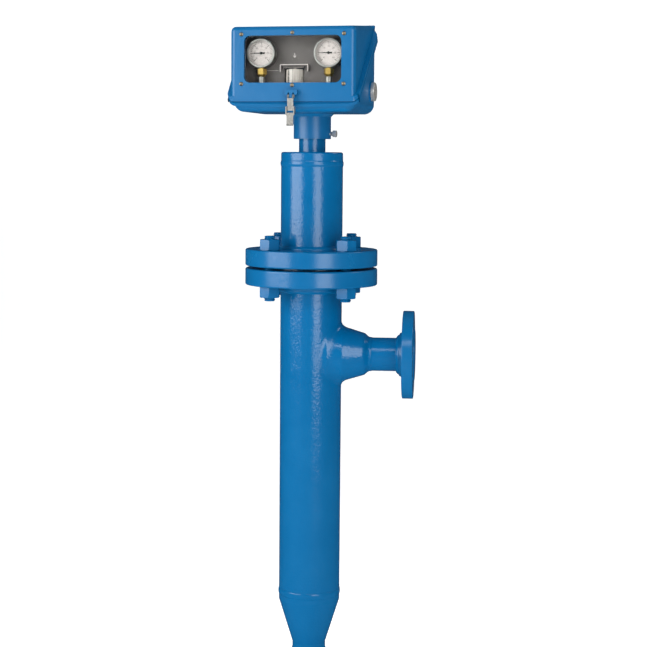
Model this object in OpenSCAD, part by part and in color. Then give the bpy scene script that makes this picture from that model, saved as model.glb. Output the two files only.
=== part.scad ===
// Displacer level transmitter with an external cage.
// Origin: centre of the bottom flange face. +Z up the column, +X along the side connection.

/* [Cage] */
// Outer diameter of the chamber and spring housing pipe
pipe_od = 88.9; // [80:0.1:100]
// Wall of the chamber and spring housing pipe
pipe_wall = 5.5; // [4:0.5:8]
// Height of the side connection above the bottom face
side_z = 500; // [440:5:600]
// Distance from the column axis to the side flange face
side_reach = 151; // [140:1:200]
// Distance from the column axis to the nose of the side boss
boss_reach = 85.5; // [84:0.5:92]
// From the side connection up to the chamber flange
side_to_flange = 100; // [90:1:150]
// Top of the chamber pipe's lower end, where the reducer meets it
chamber_foot_z = 149; // [145:1:200]

/* [Body flanges] */
// Diameter of the two body flanges
flange_od = 190.5; // [180:0.5:220]
// Thickness of a body flange at its rim
flange_t = 23.9; // [18:0.1:30]
// Bolt circle of the body flanges
flange_pcd = 152.4; // [145:0.1:160]
// Diameter of the raised face
flange_face_d = 127; // [110:1:130]
// Height of the raised face
flange_face_h = 1; // [0.5:0.1:3]
// Diameter of the hub under the chamber flange
flange_hub_d = 108; // [100:1:115]
// Height of that hub
flange_hub_h = 6.3; // [4:0.1:10]
// Thickness of the gasket between the flanges
gasket_t = 1.6; // [1:0.1:4]
// Diameter of the studs
stud_d = 15.9; // [14:0.1:18]
// Clearance of a stud in its hole, on the radius
stud_gap = 1.55; // [1:0.05:2]
// Across flats of the hexagon nuts
nut_af = 27; // [24:1:32]
// Thickness of a nut
nut_t = 15.5; // [12:0.5:18]
// Thread standing proud of each nut
stud_proud = 5; // [2:0.5:10]

/* [Process connections] */
// Diameter of the two connection flanges
port_flange_od = 127; // [115:1:140]
// Thickness of a connection flange with its raised face
port_flange_t = 17.5; // [15:0.5:24]
// Bolt circle of a connection flange
port_pcd = 98.4; // [92:0.1:105]
// Bolt hole in a connection flange
port_hole_d = 15.9; // [12:0.1:18]
// Raised face of a connection flange
port_face_d = 73.2; // [65:0.1:78]
// Height of that raised face
port_face_h = 1.6; // [1:0.1:3]
// Outer diameter of the connection pipe
port_pipe_od = 48.3; // [45:0.1:52]
// Wall of the connection pipe
port_pipe_wall = 3.7; // [3:0.1:5]
// Length of the pipe stub below the reducer
foot_pipe_z = 60; // [45:1:70]

/* [Spring housing] */
// Height of the spring housing with its cap
housing_h = 138.6; // [120:0.5:170]
// Height of the turned cap on the housing
cap_h = 16.5; // [12:0.5:25]
// Rounding of the cap's edge
cap_edge = 3; // [1:0.5:5]
// Outer diameter of the tube between cap and head
tube_od = 38.1; // [34:0.1:42]
// Length of that tube that shows
tube_show = 18.7; // [12:0.1:40]
// Outer diameter of the tube inside the head
inner_tube_od = 25.4; // [23:0.1:26]
// Wall of the tube inside the head
inner_tube_wall = 2.5; // [1.5:0.1:3]

/* [Displacer] */
// Diameter of the displacer
displacer_d = 47.6; // [38:0.1:60]
// Length of the displacer, the level range
displacer_l = 356; // [250:1:380]
// Diameter of the stem
stem_d = 6.4; // [5:0.1:8]
// Wire of the range spring
spring_wire = 4; // [3:0.1:5]
// Mean diameter of the range spring
spring_d = 48; // [44:1:56]
// Length of the range spring at rest
spring_l = 74; // [60:1:85]
// Coils of the range spring
spring_coils = 6; // [4:1:8]
// Length of the attraction sleeve
sleeve_l = 26; // [18:1:30]
// How far the moving train rises
travel = 16; // [8:1:18]

/* [Head casing] */
// Turn of the head on its tube, degrees
head_turn = -8; // [-30:1:30]
// Width of the front face on each side of the window
front_side = 19.5; // [17:0.5:27]
// Distance from the tube axis to the front face
front_reach = 120; // [116:1:130]
// Height of the front face above the window
front_above = 12.6; // [11:0.1:17]
// Rise of the cover's top from front to back
top_rise = 10; // [8:0.5:12]
// Height of the parting line at the front
split_front = 12.5; // [11:0.5:14]
// Distance behind the tube axis where the parting line meets the top
split_back = 6; // [4:0.5:8]
// Widening of the cover from front to back, each side
side_draft = 3; // [1:0.5:4]
// Wall of the castings
wall = 5; // [4:0.5:5.5]
// Rounding of the cover's edges
cover_edge = 7; // [6.5:0.5:9]
// How far the rims stand out at the sides
rim_out = 8; // [6:0.5:10]
// Thickness of each rim
rim_t = 5; // [4:0.5:6]
// Thickness of the rubber cord between the rims
seal_t = 1.4; // [1:0.1:2]
// Diameter of the hub under the head
hub_d = 53.5; // [50:0.5:58]
// Height of the hub
hub_h = 35.2; // [30:0.1:45]

/* [Window] */
// Width of the window opening
window_w = 136; // [130:1:150]
// Height of the window opening
window_h = 63.4; // [58:0.2:64]
// Height of the window's lower edge above the base
window_low = 39; // [37.5:0.1:41]
// Corner radius of the opening
window_r = 8.5; // [6:0.5:12]
// Thickness of the window glass
glass_t = 3; // [2:0.5:4]
// Thickness of the window gasket
window_seal_t = 1; // [0.5:0.1:2]
// Head diameter of the window screws
screw_head_d = 5.8; // [5:0.1:6.5]

/* [Latch] */
// Width of the latch strap
strap_w = 8.3; // [7:0.1:10]
// Thickness of the latch strap
strap_t = 1.6; // [1:0.1:2]
// Width of the latch lever
lever_w = 12.3; // [11:0.1:14]
// Height of the upper latch pin above the base
strap_pin_z = 20.5; // [20.3:0.1:21.5]
// Height of the lower latch pin above the base
lever_pin_z = 3; // [2.5:0.1:3.2]
// Length of the lever below its pin
lever_reach = 22; // [16:0.5:30]

/* [Instrument] */
// Diameter of a pressure gauge
gauge_d = 40; // [36:0.5:41]
// Depth of a gauge case
gauge_depth = 15; // [13:0.5:15.5]
// Spacing of the two gauges
gauge_pitch = 94.5; // [92:0.5:95]
// Height of the gauges above the base
gauge_z = 79.6; // [78:0.2:81]
// Diameter of the set point wheel
wheel_d = 24; // [20:0.5:25]
// Height of the set point wheel
wheel_h = 19; // [16:0.5:20]

/* [Hidden] */
$fn = 64;
paint = "#1d6fb0";
steel = "#b9bcbd";
brass = "#b9913f";
dark = "#3b3f42";
eps = 0.01;
far = 400;

// Clearances between mating pieces
slip = 0.3;
run = 0.05;

// Stack of the column, from the bottom face up
pipe_r = pipe_od / 2;
pipe_bore = pipe_r - pipe_wall;
port_pipe_r = port_pipe_od / 2;
port_bore = port_pipe_r - port_pipe_wall;
lower_z = side_z + side_to_flange;
joint_z = lower_z + flange_t + flange_face_h;
upper_z = joint_z + gasket_t + flange_face_h;
upper_top = upper_z + flange_t;
cap_top = upper_top + housing_h;
pipe_top = cap_top - cap_h;
hub_z = cap_top + tube_show;
base_z = hub_z + hub_h;
stud_r = stud_d / 2;
stud_len = 2 * (nut_t + stud_proud + flange_t + flange_face_h) + gasket_t;
stud_foot = lower_z - nut_t - stud_proud;
pipe_seat = 6;
head_bore = 32;
weld = 5;
boss_grow = 15;
boss_taper = 37.5;

// Moving train, from the spring seat up
seat_t = 5;
seat_z = upper_top + seat_t;
plate_t = 4;
plate_z = seat_z + spring_l;
displacer_z = chamber_foot_z + 3;
displacer_top = displacer_z + displacer_l;
sleeve_rise = 36;
sleeve_z = base_z + sleeve_rise;
tube_top = sleeve_z + sleeve_l + travel + 20;
inner_bore = inner_tube_od / 2 - inner_tube_wall;
tube_foot = pipe_top - 4;

// Head casing, measured from the base's underside; its corners are faceted balls, a little short of their radius
ball_facets = 32;
ball_reach = cos(180 / ball_facets);
window_z = window_low + window_h / 2;
front_half_w = window_w / 2 + front_side;
front_top = window_low + window_h + front_above;
split_run = front_reach + split_back;
split_rise = front_top + top_rise - split_front;
split_tilt = atan2(split_rise, split_run);
split_len = norm([split_run, split_rise]);
base_half_w = front_half_w - 1;
base_back = 28;
base_corner = 14;
base_top = front_top - 3;
base_shoulder_z = 40;
rim_low = 4;
rim_half_w = front_half_w + side_draft + rim_out - 1;
hinge_y = 13;
hinge_z = front_top + 2.5;
hinge_r = 4.5;
hinge_pin_r = 2;
ear_x = 55;
ear_w = 10;
lug_w = 8;
hub_screw_r = 2.95;
hub_screw_z = -hub_h + 7.4;

// Window parts, from the front wall back
inner_front = cover_edge - front_reach - (cover_edge - wall) * ball_reach;
outer_front = cover_edge - front_reach - cover_edge * ball_reach;
glass_front = inner_front + window_seal_t;
glass_back = glass_front + glass_t;
glass_w = window_w + 4;
glass_h = window_h + 2.6;
retainer_w = window_w + 14;
retainer_h = window_h + 11;
retainer_t = 1.5;
screw_r = 1.5;
screw_side = window_w / 2 + 3.5;
screw_corner_z = window_h / 2 + 1.7;
screw_mid_z = window_h / 2 + 3.4;

// Latch, on the front of the casing
boss_w = 17.5;
boss_h = 6.7;
boss_out = 7;
pin_r = 1.5;
pin_eye = 2.6;
strap_pin_y = -front_reach - boss_out + 1.5;
strap_front = strap_pin_y - 4.2;
strap_side = strap_w / 2;
strap_mid = strap_side - strap_t / 2;
lane_gap = 0.25;
tongue_half = strap_side - strap_t - 0.45;
lever_pin_y = strap_pin_y - 0.5;
lever_t = 1.2;
lever_side = lever_w / 2;
lever_back = strap_front - 0.5;
lever_top = lever_pin_z + 3.5;

// Instrument
floor_z = base_corner - (base_corner - wall) * ball_reach;
gauge_r = gauge_d / 2;
gauge_front = glass_back + retainer_t + 0.5;
gauge_back = gauge_front + gauge_depth;
panel_y = gauge_back + 2;
panel_t = 2;
panel_half_w = 74;
panel_low = 26;
panel_high = 109;
panel_screw_r = 1.55;
panel_screw_x = 64;
socket_y = gauge_front + gauge_depth / 2;
socket_low = gauge_z - gauge_r - 12;
socket_r = 3.5;
block_y = socket_y;
block_top = 20;
block_depth = 13;
block_half = gauge_pitch / 2 + 13;
coupling_r = 4.6;
coupling_af = 13;
wheel_x = -3.8;
wheel_z = 39.5;
wheel_y = panel_y + 4;
wheel_pin_r = 2;
wheel_room = 3.2;
frame_half_w = 67;
frame_back = -16;
frame_screw_r = 2.15;
cheek_depth = 40;
cheek_top_depth = 14;
cheek_step_z = 40;
cheek_back = panel_y + cheek_depth;
sheet = 3;
arm_y = -27;
arm_z = 49;
arm_pivot_x = -46;
arm_t = 6;
pivot_r = 1.5;
relay_x = 38;
relay_depth = 40;
relay_y = panel_y + relay_depth;
bellows_x = -34;
bellows_depth = 26;
bellows_y = panel_y + bellows_depth;
ring_y = -10;
ring_z = 31;
ring_r = 13.2;
ring_bore = 6;
ring_thread = ring_bore + 2;
pad_x = base_half_w + 1.8;
fitting_x = base_half_w - 7;
tube_x = fitting_x - 4;

// Plane rounded rectangle with true arcs
module round_rect(w, h, r) {
    square([w, h - 2 * r], center = true);
    square([w - 2 * r, h], center = true);
    for (sx = [-1, 1], sy = [-1, 1])
        translate([sx * (w / 2 - r), sy * (h / 2 - r)])
            circle(r);
}

// Extrudes an x-z outline between two y planes
module along_y(from, to) {
    translate([0, to, 0])
        rotate([90, 0, 0])
            linear_extrude(to - from)
                children();
}

// Extrudes a y-z outline between two x planes
module along_x(from, to) {
    translate([from, 0, 0])
        rotate([90, 0, 90])
            linear_extrude(to - from)
                children();
}

// Round bar or hole along y
module rod_y(r, from, to, x = 0, z = 0) {
    translate([x, to, z])
        rotate([90, 0, 0])
            cylinder(r = r, h = to - from);
}

// Round bar or hole along x
module rod_x(r, from, to, y = 0, z = 0) {
    translate([from, y, z])
        rotate([0, 90, 0])
            cylinder(r = r, h = to - from);
}

// Hexagon prism with its corners turned down
module hexagon(af, h) {
    corner = af / sqrt(3);
    intersection() {
        cylinder(r = corner, h = h, $fn = 6);
        union() {
            cylinder(r1 = af / 2, r2 = af / 2 + h, h = h / 2);
            translate([0, 0, h / 2])
                cylinder(r1 = af / 2 + h, r2 = af / 2, h = h / 2);
        }
    }
}

// Four places on a bolt circle, straddling the axes
module on_bolt_circle(pcd) {
    for (i = [0:3])
        rotate([0, 0, 45 + 90 * i])
            translate([pcd / 2, 0, 0])
                children();
}

// Flat ring with rounded rim corners, revolved from its section
module flange_ring(r, t, bore, edge) {
    rotate_extrude($fn = 128) {
        translate([bore, 0])
            square([r - edge - bore, t]);
        translate([bore, edge])
            square([r - bore, t - 2 * edge]);
        for (z = [edge, t - edge])
            translate([r - edge, z])
                circle(edge, $fn = 24);
    }
}

// Fillet weld around a pipe: a ring of triangular section rising from z = 0
module fillet_weld(r, size) {
    rotate_extrude()
        polygon([[r, 0], [r + size, 0], [r + size * 0.4, size * 0.4], [r, size]]);
}

// Connection flange with its face at z = 0 and its pipe leaving upwards
module port_flange() {
    difference() {
        union() {
            translate([0, 0, port_face_h])
                flange_ring(port_flange_od / 2, port_flange_t - port_face_h, port_bore, 1.2);
            cylinder(d = port_face_d, h = port_face_h + eps);
            translate([0, 0, port_flange_t - eps])
                cylinder(r1 = port_pipe_r + 8.4, r2 = port_pipe_r + 7, h = 4.7);
            translate([0, 0, port_flange_t + 4.6])
                fillet_weld(port_pipe_r + run, weld);
        }
        translate([0, 0, -1])
            cylinder(r = port_bore, h = pipe_seat + 1 + eps);
        translate([0, 0, pipe_seat])
            cylinder(r = port_pipe_r + run, h = far);
        on_bolt_circle(port_pcd)
            translate([0, 0, -1])
                cylinder(d = port_hole_d, h = port_flange_t + 2);
    }
}

// Places a piece on the side connection's axis, its z pointing back to the column
module on_side_axis() {
    translate([side_reach, 0, side_z])
        rotate([0, -90, 0])
            children();
}

// Places a piece in the head's own frame
module in_head() {
    translate([0, 0, base_z])
        rotate([0, 0, head_turn])
            children();
}

// Places a piece on the parting plane: x across, y up the slope, z into the cover
module on_split() {
    translate([0, -front_reach, split_front])
        rotate([split_tilt, 0, 0])
            children();
}

// Half space on one side of the parting plane, from height n along its normal
module cover_side(n) {
    on_split()
        translate([-far, -far, n])
            cube([2 * far, 2 * far, far]);
}

module base_side(n) {
    on_split()
        translate([-far, -far, n - far])
            cube([2 * far, 2 * far, far]);
}

// Cage

module chamber_tube() color(paint) {
    difference() {
        translate([0, 0, chamber_foot_z])
            cylinder(r = pipe_r, h = joint_z - pipe_seat - chamber_foot_z, $fn = 96);
        translate([0, 0, chamber_foot_z - 1])
            cylinder(r = pipe_bore, h = joint_z, $fn = 96);
        rod_x(port_bore, 0, pipe_od, 0, side_z);
    }
}

module chamber_flange() color(paint) {
    difference() {
        union() {
            translate([0, 0, lower_z])
                flange_ring(flange_od / 2, flange_t, pipe_bore, 2);
            translate([0, 0, joint_z - flange_face_h - eps])
                cylinder(d = flange_face_d, h = flange_face_h + eps, $fn = 96);
            translate([0, 0, lower_z - flange_hub_h])
                cylinder(r1 = flange_hub_d / 2 - 1.5, r2 = flange_hub_d / 2, h = flange_hub_h + eps);
            translate([0, 0, lower_z - flange_hub_h])
                mirror([0, 0, 1])
                    fillet_weld(pipe_r + run, weld);
        }
        translate([0, 0, lower_z - far])
            cylinder(r = pipe_r + run, h = far + joint_z - pipe_seat - lower_z, $fn = 96);
        translate([0, 0, lower_z])
            cylinder(r = pipe_bore, h = far, $fn = 96);
        on_bolt_circle(flange_pcd)
            translate([0, 0, lower_z - 1])
                cylinder(r = stud_r + stud_gap, h = flange_t + 2);
    }
}

// Distances of the boss section from the flange face, along the side axis
boss_foot = side_reach - pipe_bore;
boss_nose = side_reach - boss_reach;

module side_boss() color(paint) {
    difference() {
        on_side_axis()
            rotate_extrude()
                polygon([
                    [port_bore, boss_nose],
                    for (p = [[0.033, 0], [0.2, 0.093], [0.413, 0.187], [0.68, 0.547], [0.867, 0.787], [1, 1]])
                        [port_pipe_r + p[0] * boss_grow, boss_nose + p[1] * boss_taper],
                    [port_pipe_r + boss_grow, boss_foot], [port_bore, boss_foot]
                ]);
        cylinder(r = pipe_r + run, h = far * 3, $fn = 96);
    }
}

module side_pipe() color(paint) {
    on_side_axis()
        difference() {
            translate([0, 0, pipe_seat])
                cylinder(r = port_pipe_r, h = boss_nose - pipe_seat);
            cylinder(r = port_bore, h = far);
        }
}

module side_flange() color(paint) {
    on_side_axis()
        port_flange();
}

module bottom_reducer() color(paint) {
    difference() {
        translate([0, 0, foot_pipe_z]) {
            cylinder(r = port_pipe_r, h = 12);
            translate([0, 0, 12])
                cylinder(r1 = port_pipe_r, r2 = pipe_r, h = chamber_foot_z - foot_pipe_z - 24);
            translate([0, 0, chamber_foot_z - foot_pipe_z - 12])
                cylinder(r = pipe_r, h = 12);
        }
        translate([0, 0, foot_pipe_z]) {
            translate([0, 0, -1])
                cylinder(r = port_bore, h = 14);
            translate([0, 0, 13 - eps])
                cylinder(r1 = port_bore, r2 = pipe_bore, h = chamber_foot_z - foot_pipe_z - 24);
            translate([0, 0, chamber_foot_z - foot_pipe_z - 11 - 2 * eps])
                cylinder(r = pipe_bore, h = 14);
        }
    }
}

module bottom_pipe() color(paint) {
    translate([0, 0, pipe_seat])
        difference() {
            cylinder(r = port_pipe_r, h = foot_pipe_z - pipe_seat);
            translate([0, 0, -1])
                cylinder(r = port_bore, h = foot_pipe_z);
        }
}

module bottom_flange() color(paint) {
    port_flange();
}

module flange_gasket() color(dark) {
    translate([0, 0, joint_z])
        difference() {
            cylinder(d = flange_face_d, h = gasket_t, $fn = 96);
            translate([0, 0, -1])
                cylinder(r = pipe_r, h = gasket_t + 2, $fn = 96);
        }
}

module head_flange() color(paint) {
    difference() {
        union() {
            translate([0, 0, upper_z])
                flange_ring(flange_od / 2, flange_t, head_bore, 2);
            translate([0, 0, upper_z - flange_face_h])
                cylinder(d = flange_face_d, h = flange_face_h + eps, $fn = 96);
            translate([0, 0, upper_top - eps])
                fillet_weld(pipe_r + run, weld);
        }
        translate([0, 0, upper_z - 2])
            cylinder(r = head_bore, h = far);
        translate([0, 0, upper_top])
            cylinder(r = pipe_r + run, h = far, $fn = 96);
        on_bolt_circle(flange_pcd)
            translate([0, 0, upper_z - 1])
                cylinder(r = stud_r + stud_gap, h = flange_t + 2);
    }
}

module flange_studs() color(paint) {
    on_bolt_circle(flange_pcd)
        translate([0, 0, stud_foot]) {
            cylinder(r1 = stud_r - 1.2, r2 = stud_r, h = 1.2);
            translate([0, 0, 1.2])
                cylinder(r = stud_r, h = stud_len - 2.4);
            translate([0, 0, stud_len - 1.2])
                cylinder(r1 = stud_r, r2 = stud_r - 1.2, h = 1.2);
        }
}

// Four nuts on the studs, each turned as it was left
module nut_set(z) {
    turns = [35, 39, 32, 41];
    for (i = [0:3])
        let (a = 45 + 90 * i)
        translate([flange_pcd / 2 * cos(a), flange_pcd / 2 * sin(a), z])
            difference() {
                rotate([0, 0, turns[i]])
                    hexagon(nut_af, nut_t);
                translate([0, 0, -1])
                    cylinder(r = stud_r + run, h = nut_t + 2);
            }
}

module upper_nuts() color(paint) {
    nut_set(upper_top);
}

module lower_nuts() color(paint) {
    nut_set(lower_z - nut_t);
}

// Top works

module spring_housing() color(paint) {
    difference() {
        translate([0, 0, upper_top])
            cylinder(r = pipe_r, h = pipe_top - upper_top, $fn = 96);
        translate([0, 0, upper_top - 1])
            cylinder(r = pipe_bore, h = far, $fn = 96);
    }
}

// Cap with a spigot in the pipe, and the weld bead that joins them
module housing_cap() color(paint) {
    bead_r = 11.7;
    bead_out = 0.9;
    difference() {
        union() {
            translate([0, 0, pipe_top])
                rotate_extrude($fn = 96) {
                    square([pipe_r - cap_edge, cap_h]);
                    square([pipe_r, cap_h - cap_edge]);
                    translate([pipe_r - cap_edge, cap_h - cap_edge])
                        circle(cap_edge, $fn = 32);
                }
            translate([0, 0, pipe_top - 4])
                cylinder(r = pipe_bore - run, h = 4 + eps, $fn = 96);
            translate([0, 0, pipe_top])
                rotate_extrude($fn = 96)
                    intersection() {
                        translate([pipe_r + bead_out - bead_r, 0])
                            circle(bead_r, $fn = 96);
                        translate([pipe_r + run, -bead_r])
                            square(2 * bead_r);
                    }
            translate([0, 0, pipe_top])
                cylinder(r = pipe_r + run + eps, h = 4, $fn = 96);
        }
        translate([0, 0, pipe_top - 5])
            cylinder(d = tube_od + 2 * run, h = far);
    }
}

// Tube from the cap into the head, whose floor rests on its shoulder
module enclosing_tube() color(paint) {
    difference() {
        union() {
            translate([0, 0, tube_foot])
                cylinder(d = tube_od, h = base_z - run - tube_foot);
            translate([0, 0, tube_foot])
                cylinder(d = inner_tube_od, h = tube_top - tube_foot - 2);
            translate([0, 0, tube_top - 2 - eps])
                cylinder(d1 = inner_tube_od, d2 = inner_tube_od - 4, h = 2);
        }
        translate([0, 0, tube_foot - 1])
            cylinder(r = inner_bore, h = tube_top - tube_foot - 2);
    }
}

// Perforated plate that the spring stands on
module spring_seat() color(steel) {
    translate([0, 0, upper_top])
        difference() {
            cylinder(r = pipe_bore - slip, h = seat_t, $fn = 96);
            translate([0, 0, -1])
                cylinder(r = stem_d / 2 + 1, h = seat_t + 2);
            for (i = [0:5])
                rotate([0, 0, 60 * i])
                    translate([15, 0, -1])
                        cylinder(r = 4, h = seat_t + 2, $fn = 32);
        }
}

// Height of the spring wire's middle after u turns: the end turns lie close, the rest share the rise
function spring_rise(u) =
    let (close = spring_wire * 1.1, open = (spring_l - spring_wire - 2 * close) / (spring_coils - 2))
    spring_wire / 2 + close * (min(u, 1) + max(u - spring_coils + 1, 0))
        + open * max(min(u, spring_coils - 1) - 1, 0);

// Round wire carried along a helix as rings of points
module range_spring() color(steel) {
    sides = 8;
    steps = 16 * spring_coils;
    points = [for (i = [0:steps], k = [0:sides - 1])
        let (turn = 360 * spring_coils * i / steps, a = 360 * k / sides)
        let (r = spring_d / 2 + spring_wire / 2 * cos(a))
        [r * cos(turn), r * sin(turn), spring_rise(turn / 360) + spring_wire / 2 * sin(a)]];
    walls = [for (i = [0:steps - 1], k = [0:sides - 1])
        let (next = (k + 1) % sides)
        [i * sides + k, (i + 1) * sides + k, (i + 1) * sides + next, i * sides + next]];
    foot = [for (k = [0:sides - 1]) k];
    head = [for (k = [sides - 1:-1:0]) steps * sides + k];
    translate([0, 0, seat_z])
        polyhedron(points, concat(walls, [foot, head]), convexity = 10);
}

module spring_plate() color(steel) {
    translate([0, 0, plate_z]) {
        difference() {
            cylinder(d = spring_d + spring_wire + 4, h = plate_t);
            translate([0, 0, -1])
                cylinder(r = stem_d / 2 + run, h = plate_t + 2);
        }
        translate([0, 0, plate_t])
            difference() {
                hexagon(14, 7);
                translate([0, 0, -1])
                    cylinder(r = stem_d / 2 + run, h = 9);
            }
    }
}

module stem() color(steel) {
    translate([0, 0, displacer_top])
        cylinder(d = stem_d, h = sleeve_z - displacer_top);
}

module displacer() color(steel) {
    translate([0, 0, displacer_z])
        rotate_extrude($fn = 96) {
            r = displacer_d / 2;
            e = 3;
            square([r - e, displacer_l]);
            translate([0, e])
                square([r, displacer_l - 2 * e]);
            for (z = [e, displacer_l - e])
                translate([r - e, z])
                    circle(e, $fn = 32);
        }
}

module attraction_sleeve() color(steel) {
    translate([0, 0, sleeve_z]) {
        cylinder(r = inner_bore - 0.6, h = sleeve_l);
        translate([0, 0, sleeve_l])
            cylinder(r1 = inner_bore - 0.6, r2 = inner_bore - 3, h = 2);
    }
}

// Head casing

module ball(r) {
    sphere(r, $fn = ball_facets);
}

// Cover before it is parted, grown inwards by skin
module cover_form(skin) {
    back_y = split_back + 25;
    grow = (back_y + front_reach - cover_edge) / split_run;
    hull()
        for (sx = [-1, 1], z = [0, 1], y = [0, 1])
            translate([
                sx * (front_half_w - cover_edge + y * grow * side_draft),
                y == 0 ? -front_reach + cover_edge : back_y,
                z == 0 ? -30 : front_top - cover_edge + y * grow * top_rise
            ])
                ball(cover_edge - skin);
}

// Base before it is parted, grown inwards by skin
module base_form(skin) {
    low = base_corner;
    side = base_half_w - low;
    back = base_back - low;
    hull()
        for (sx = [-1, 1]) {
            translate([sx * (side - 1), -front_reach + low + 2, low])
                ball(low - skin);
            for (z = [low, base_top - low])
                translate([sx * side, back, z])
                    ball(low - skin);
            translate([sx * (base_half_w - 6.5), -12, base_top - 8])
                ball(8 - skin);
            translate([sx * (base_half_w - 9), -front_reach + 10, base_shoulder_z])
                ball(10 - skin);
        }
}

// Outline of a rim in the parting plane, reaching up the slope to y = top
module rim_outline(top) {
    translate([0, (top - rim_low) / 2])
        round_rect(2 * rim_half_w, top + rim_low, 11);
}

// Boss above the latch, with lanes for the strap's cheeks and a tongue that holds the upper pin
module latch_boss() {
    difference() {
        along_y(-front_reach - boss_out, -front_reach + 2)
            translate([0, strap_pin_z + 1.9 + boss_h / 2])
                round_rect(boss_w, boss_h, 2);
        for (sx = [-1, 1])
            rod_x(pin_eye + 2.4, sx * strap_mid - strap_t / 2 - lane_gap,
                sx * strap_mid + strap_t / 2 + lane_gap, strap_pin_y, strap_pin_z);
    }
    along_x(-tongue_half, tongue_half)
        polygon([
            [-front_reach + 1, strap_pin_z + 5], [strap_pin_y - 2, strap_pin_z + 2],
            [strap_pin_y - 2, strap_pin_z - 2], [-front_reach + 1, strap_pin_z - 3.5]
        ]);
}

// Nose on the base that the lower latch pin draws up against
module latch_catch() {
    low = lever_pin_z + pin_r + lane_gap;
    along_x(-tongue_half, tongue_half)
        polygon([
            [-front_reach + 7, low], [lever_pin_y - 1.3, low], [lever_pin_y - 1.3, low + 3.3],
            [-front_reach - 2, low + 4.6], [-front_reach + 7, low + 4.2]
        ]);
}

// Ear of the cover, from its top wall back to the hinge
module cover_ear(x) {
    along_x(x - ear_w / 2, x + ear_w / 2) {
        polygon([
            [-5, hinge_z + 2], [-5, hinge_z + 6], [split_back - 1, front_top + top_rise - 0.3],
            [hinge_y + 2, hinge_z + 4], [hinge_y + 1, hinge_z], [hinge_y - 3, hinge_z + 1.4],
            [hinge_y - 6, hinge_z + 1.6]
        ]);
        translate([hinge_y, hinge_z])
            circle(hinge_r);
    }
}

module head_cover() color(paint) in_head() {
    difference() {
        union() {
            difference() {
                union() {
                    intersection() {
                        cover_form(0);
                        cover_side(seal_t / 2 + 0.2);
                    }
                    on_split()
                        translate([0, 0, seal_t / 2 + 0.2])
                            linear_extrude(rim_t)
                                rim_outline(split_len - 2);
                }
                cover_form(wall);
            }
            latch_boss();
            for (sx = [-1, 1])
                cover_ear(sx * ear_x);
        }
        along_y(-front_reach - 1, inner_front + 1)
            translate([0, window_z])
                round_rect(window_w, window_h, window_r);
        window_screw_places()
            rod_y(screw_r + 0.2, -front_reach - 1, inner_front + 1);
        rod_x(pin_r + run, -boss_w, boss_w, strap_pin_y, strap_pin_z);
        rod_x(hinge_pin_r + run, -far, far, hinge_y, hinge_z);
    }
}

module window_screw_places() {
    for (sz = [-1, 1]) {
        translate([0, 0, window_z + sz * screw_mid_z])
            children();
        for (sx = [-1, 1])
            translate([sx * screw_side, 0, window_z + sz * screw_corner_z])
                children();
    }
}

module hinge_lug(x) {
    along_x(x - lug_w / 2, x + lug_w / 2) {
        translate([hinge_y - hinge_r, base_top - 8])
            square([2 * hinge_r, hinge_z - base_top + 8]);
        translate([hinge_y, hinge_z])
            circle(hinge_r);
    }
}

module head_base() color(paint) in_head() {
    lug_step = (ear_w + lug_w) / 2 + 0.4;
    difference() {
        union() {
            intersection() {
                base_form(0);
                base_side(-seal_t / 2);
            }
            on_split()
                translate([0, 0, -seal_t / 2 - rim_t])
                    linear_extrude(rim_t)
                        rim_outline(split_len - 11);
            translate([0, 0, -hub_h])
                cylinder(d = hub_d, h = hub_h + floor_z);
            translate([0, 0, -4])
                cylinder(r1 = hub_d / 2, r2 = hub_d / 2 + 4, h = 4 + eps);
            along_y(-6, 6)
                polygon([[-hub_d / 2 + 3, 1], [-hub_d / 2 - 12, 1], [-hub_d / 2 - 11, -1], [-hub_d / 2 + 3, -18]]);
            for (sx = [-1, 1], side = [-1, 1])
                hinge_lug(sx * ear_x + side * lug_step);
            for (sx = [-1, 1])
                rod_x(ring_r + 1.5, sx * (pad_x - 4) - 4, sx * (pad_x - 4) + 4, ring_y, ring_z);
            latch_catch();
        }
        base_form(wall);
        translate([0, 0, -hub_h - 1])
            cylinder(r = tube_od / 2 + run, h = hub_h + 1);
        cylinder(r = inner_tube_od / 2 + run, h = 4 * wall, center = true);
        rod_x(hub_screw_r + run, 0, far, 0, hub_screw_z);
        for (sx = [-1, 1])
            rod_x(ring_thread, sx * far / 2 - far / 2, sx * far / 2 + far / 2, ring_y, ring_z);
        frame_screw_places()
            translate([0, 0, -1])
                cylinder(r = frame_screw_r + run, h = wall + 2, $fn = 32);
        rod_x(hinge_pin_r + run, -far, far, hinge_y, hinge_z);
    }
}

// Rubber cord between the rims, a little inside their edges
module cover_gasket() color(dark) in_head() {
    top = split_len - 14;
    low = 3 - rim_low;
    difference() {
        on_split()
            translate([0, (top + low) / 2, -seal_t / 2])
                linear_extrude(seal_t)
                    round_rect(2 * rim_half_w - 4, top - low, 9);
        base_form(wall);
    }
}

module hinge_pin() color(steel) in_head() {
    half = ear_x + ear_w / 2 + lug_w + 1.6;
    rod_x(hinge_pin_r, -half, half, hinge_y, hinge_z);
    for (sx = [-1, 1])
        rod_x(3.2, sx * half - 1, sx * half + 1, hinge_y, hinge_z);
}

module window_gasket() color(dark) in_head() {
    difference() {
        along_y(inner_front, glass_front)
            translate([0, window_z])
                round_rect(retainer_w, retainer_h, window_r + 4);
        along_y(inner_front - 1, glass_front + 1)
            translate([0, window_z])
                round_rect(window_w, window_h, window_r);
        window_screw_places()
            rod_y(screw_r + 0.2, inner_front - 1, glass_front + 1);
    }
}

module window_glass() color("#c8d8dc", 0.35) in_head() {
    along_y(glass_front, glass_back)
        translate([0, window_z])
            round_rect(glass_w, glass_h, window_r + 1.5);
}

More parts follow.
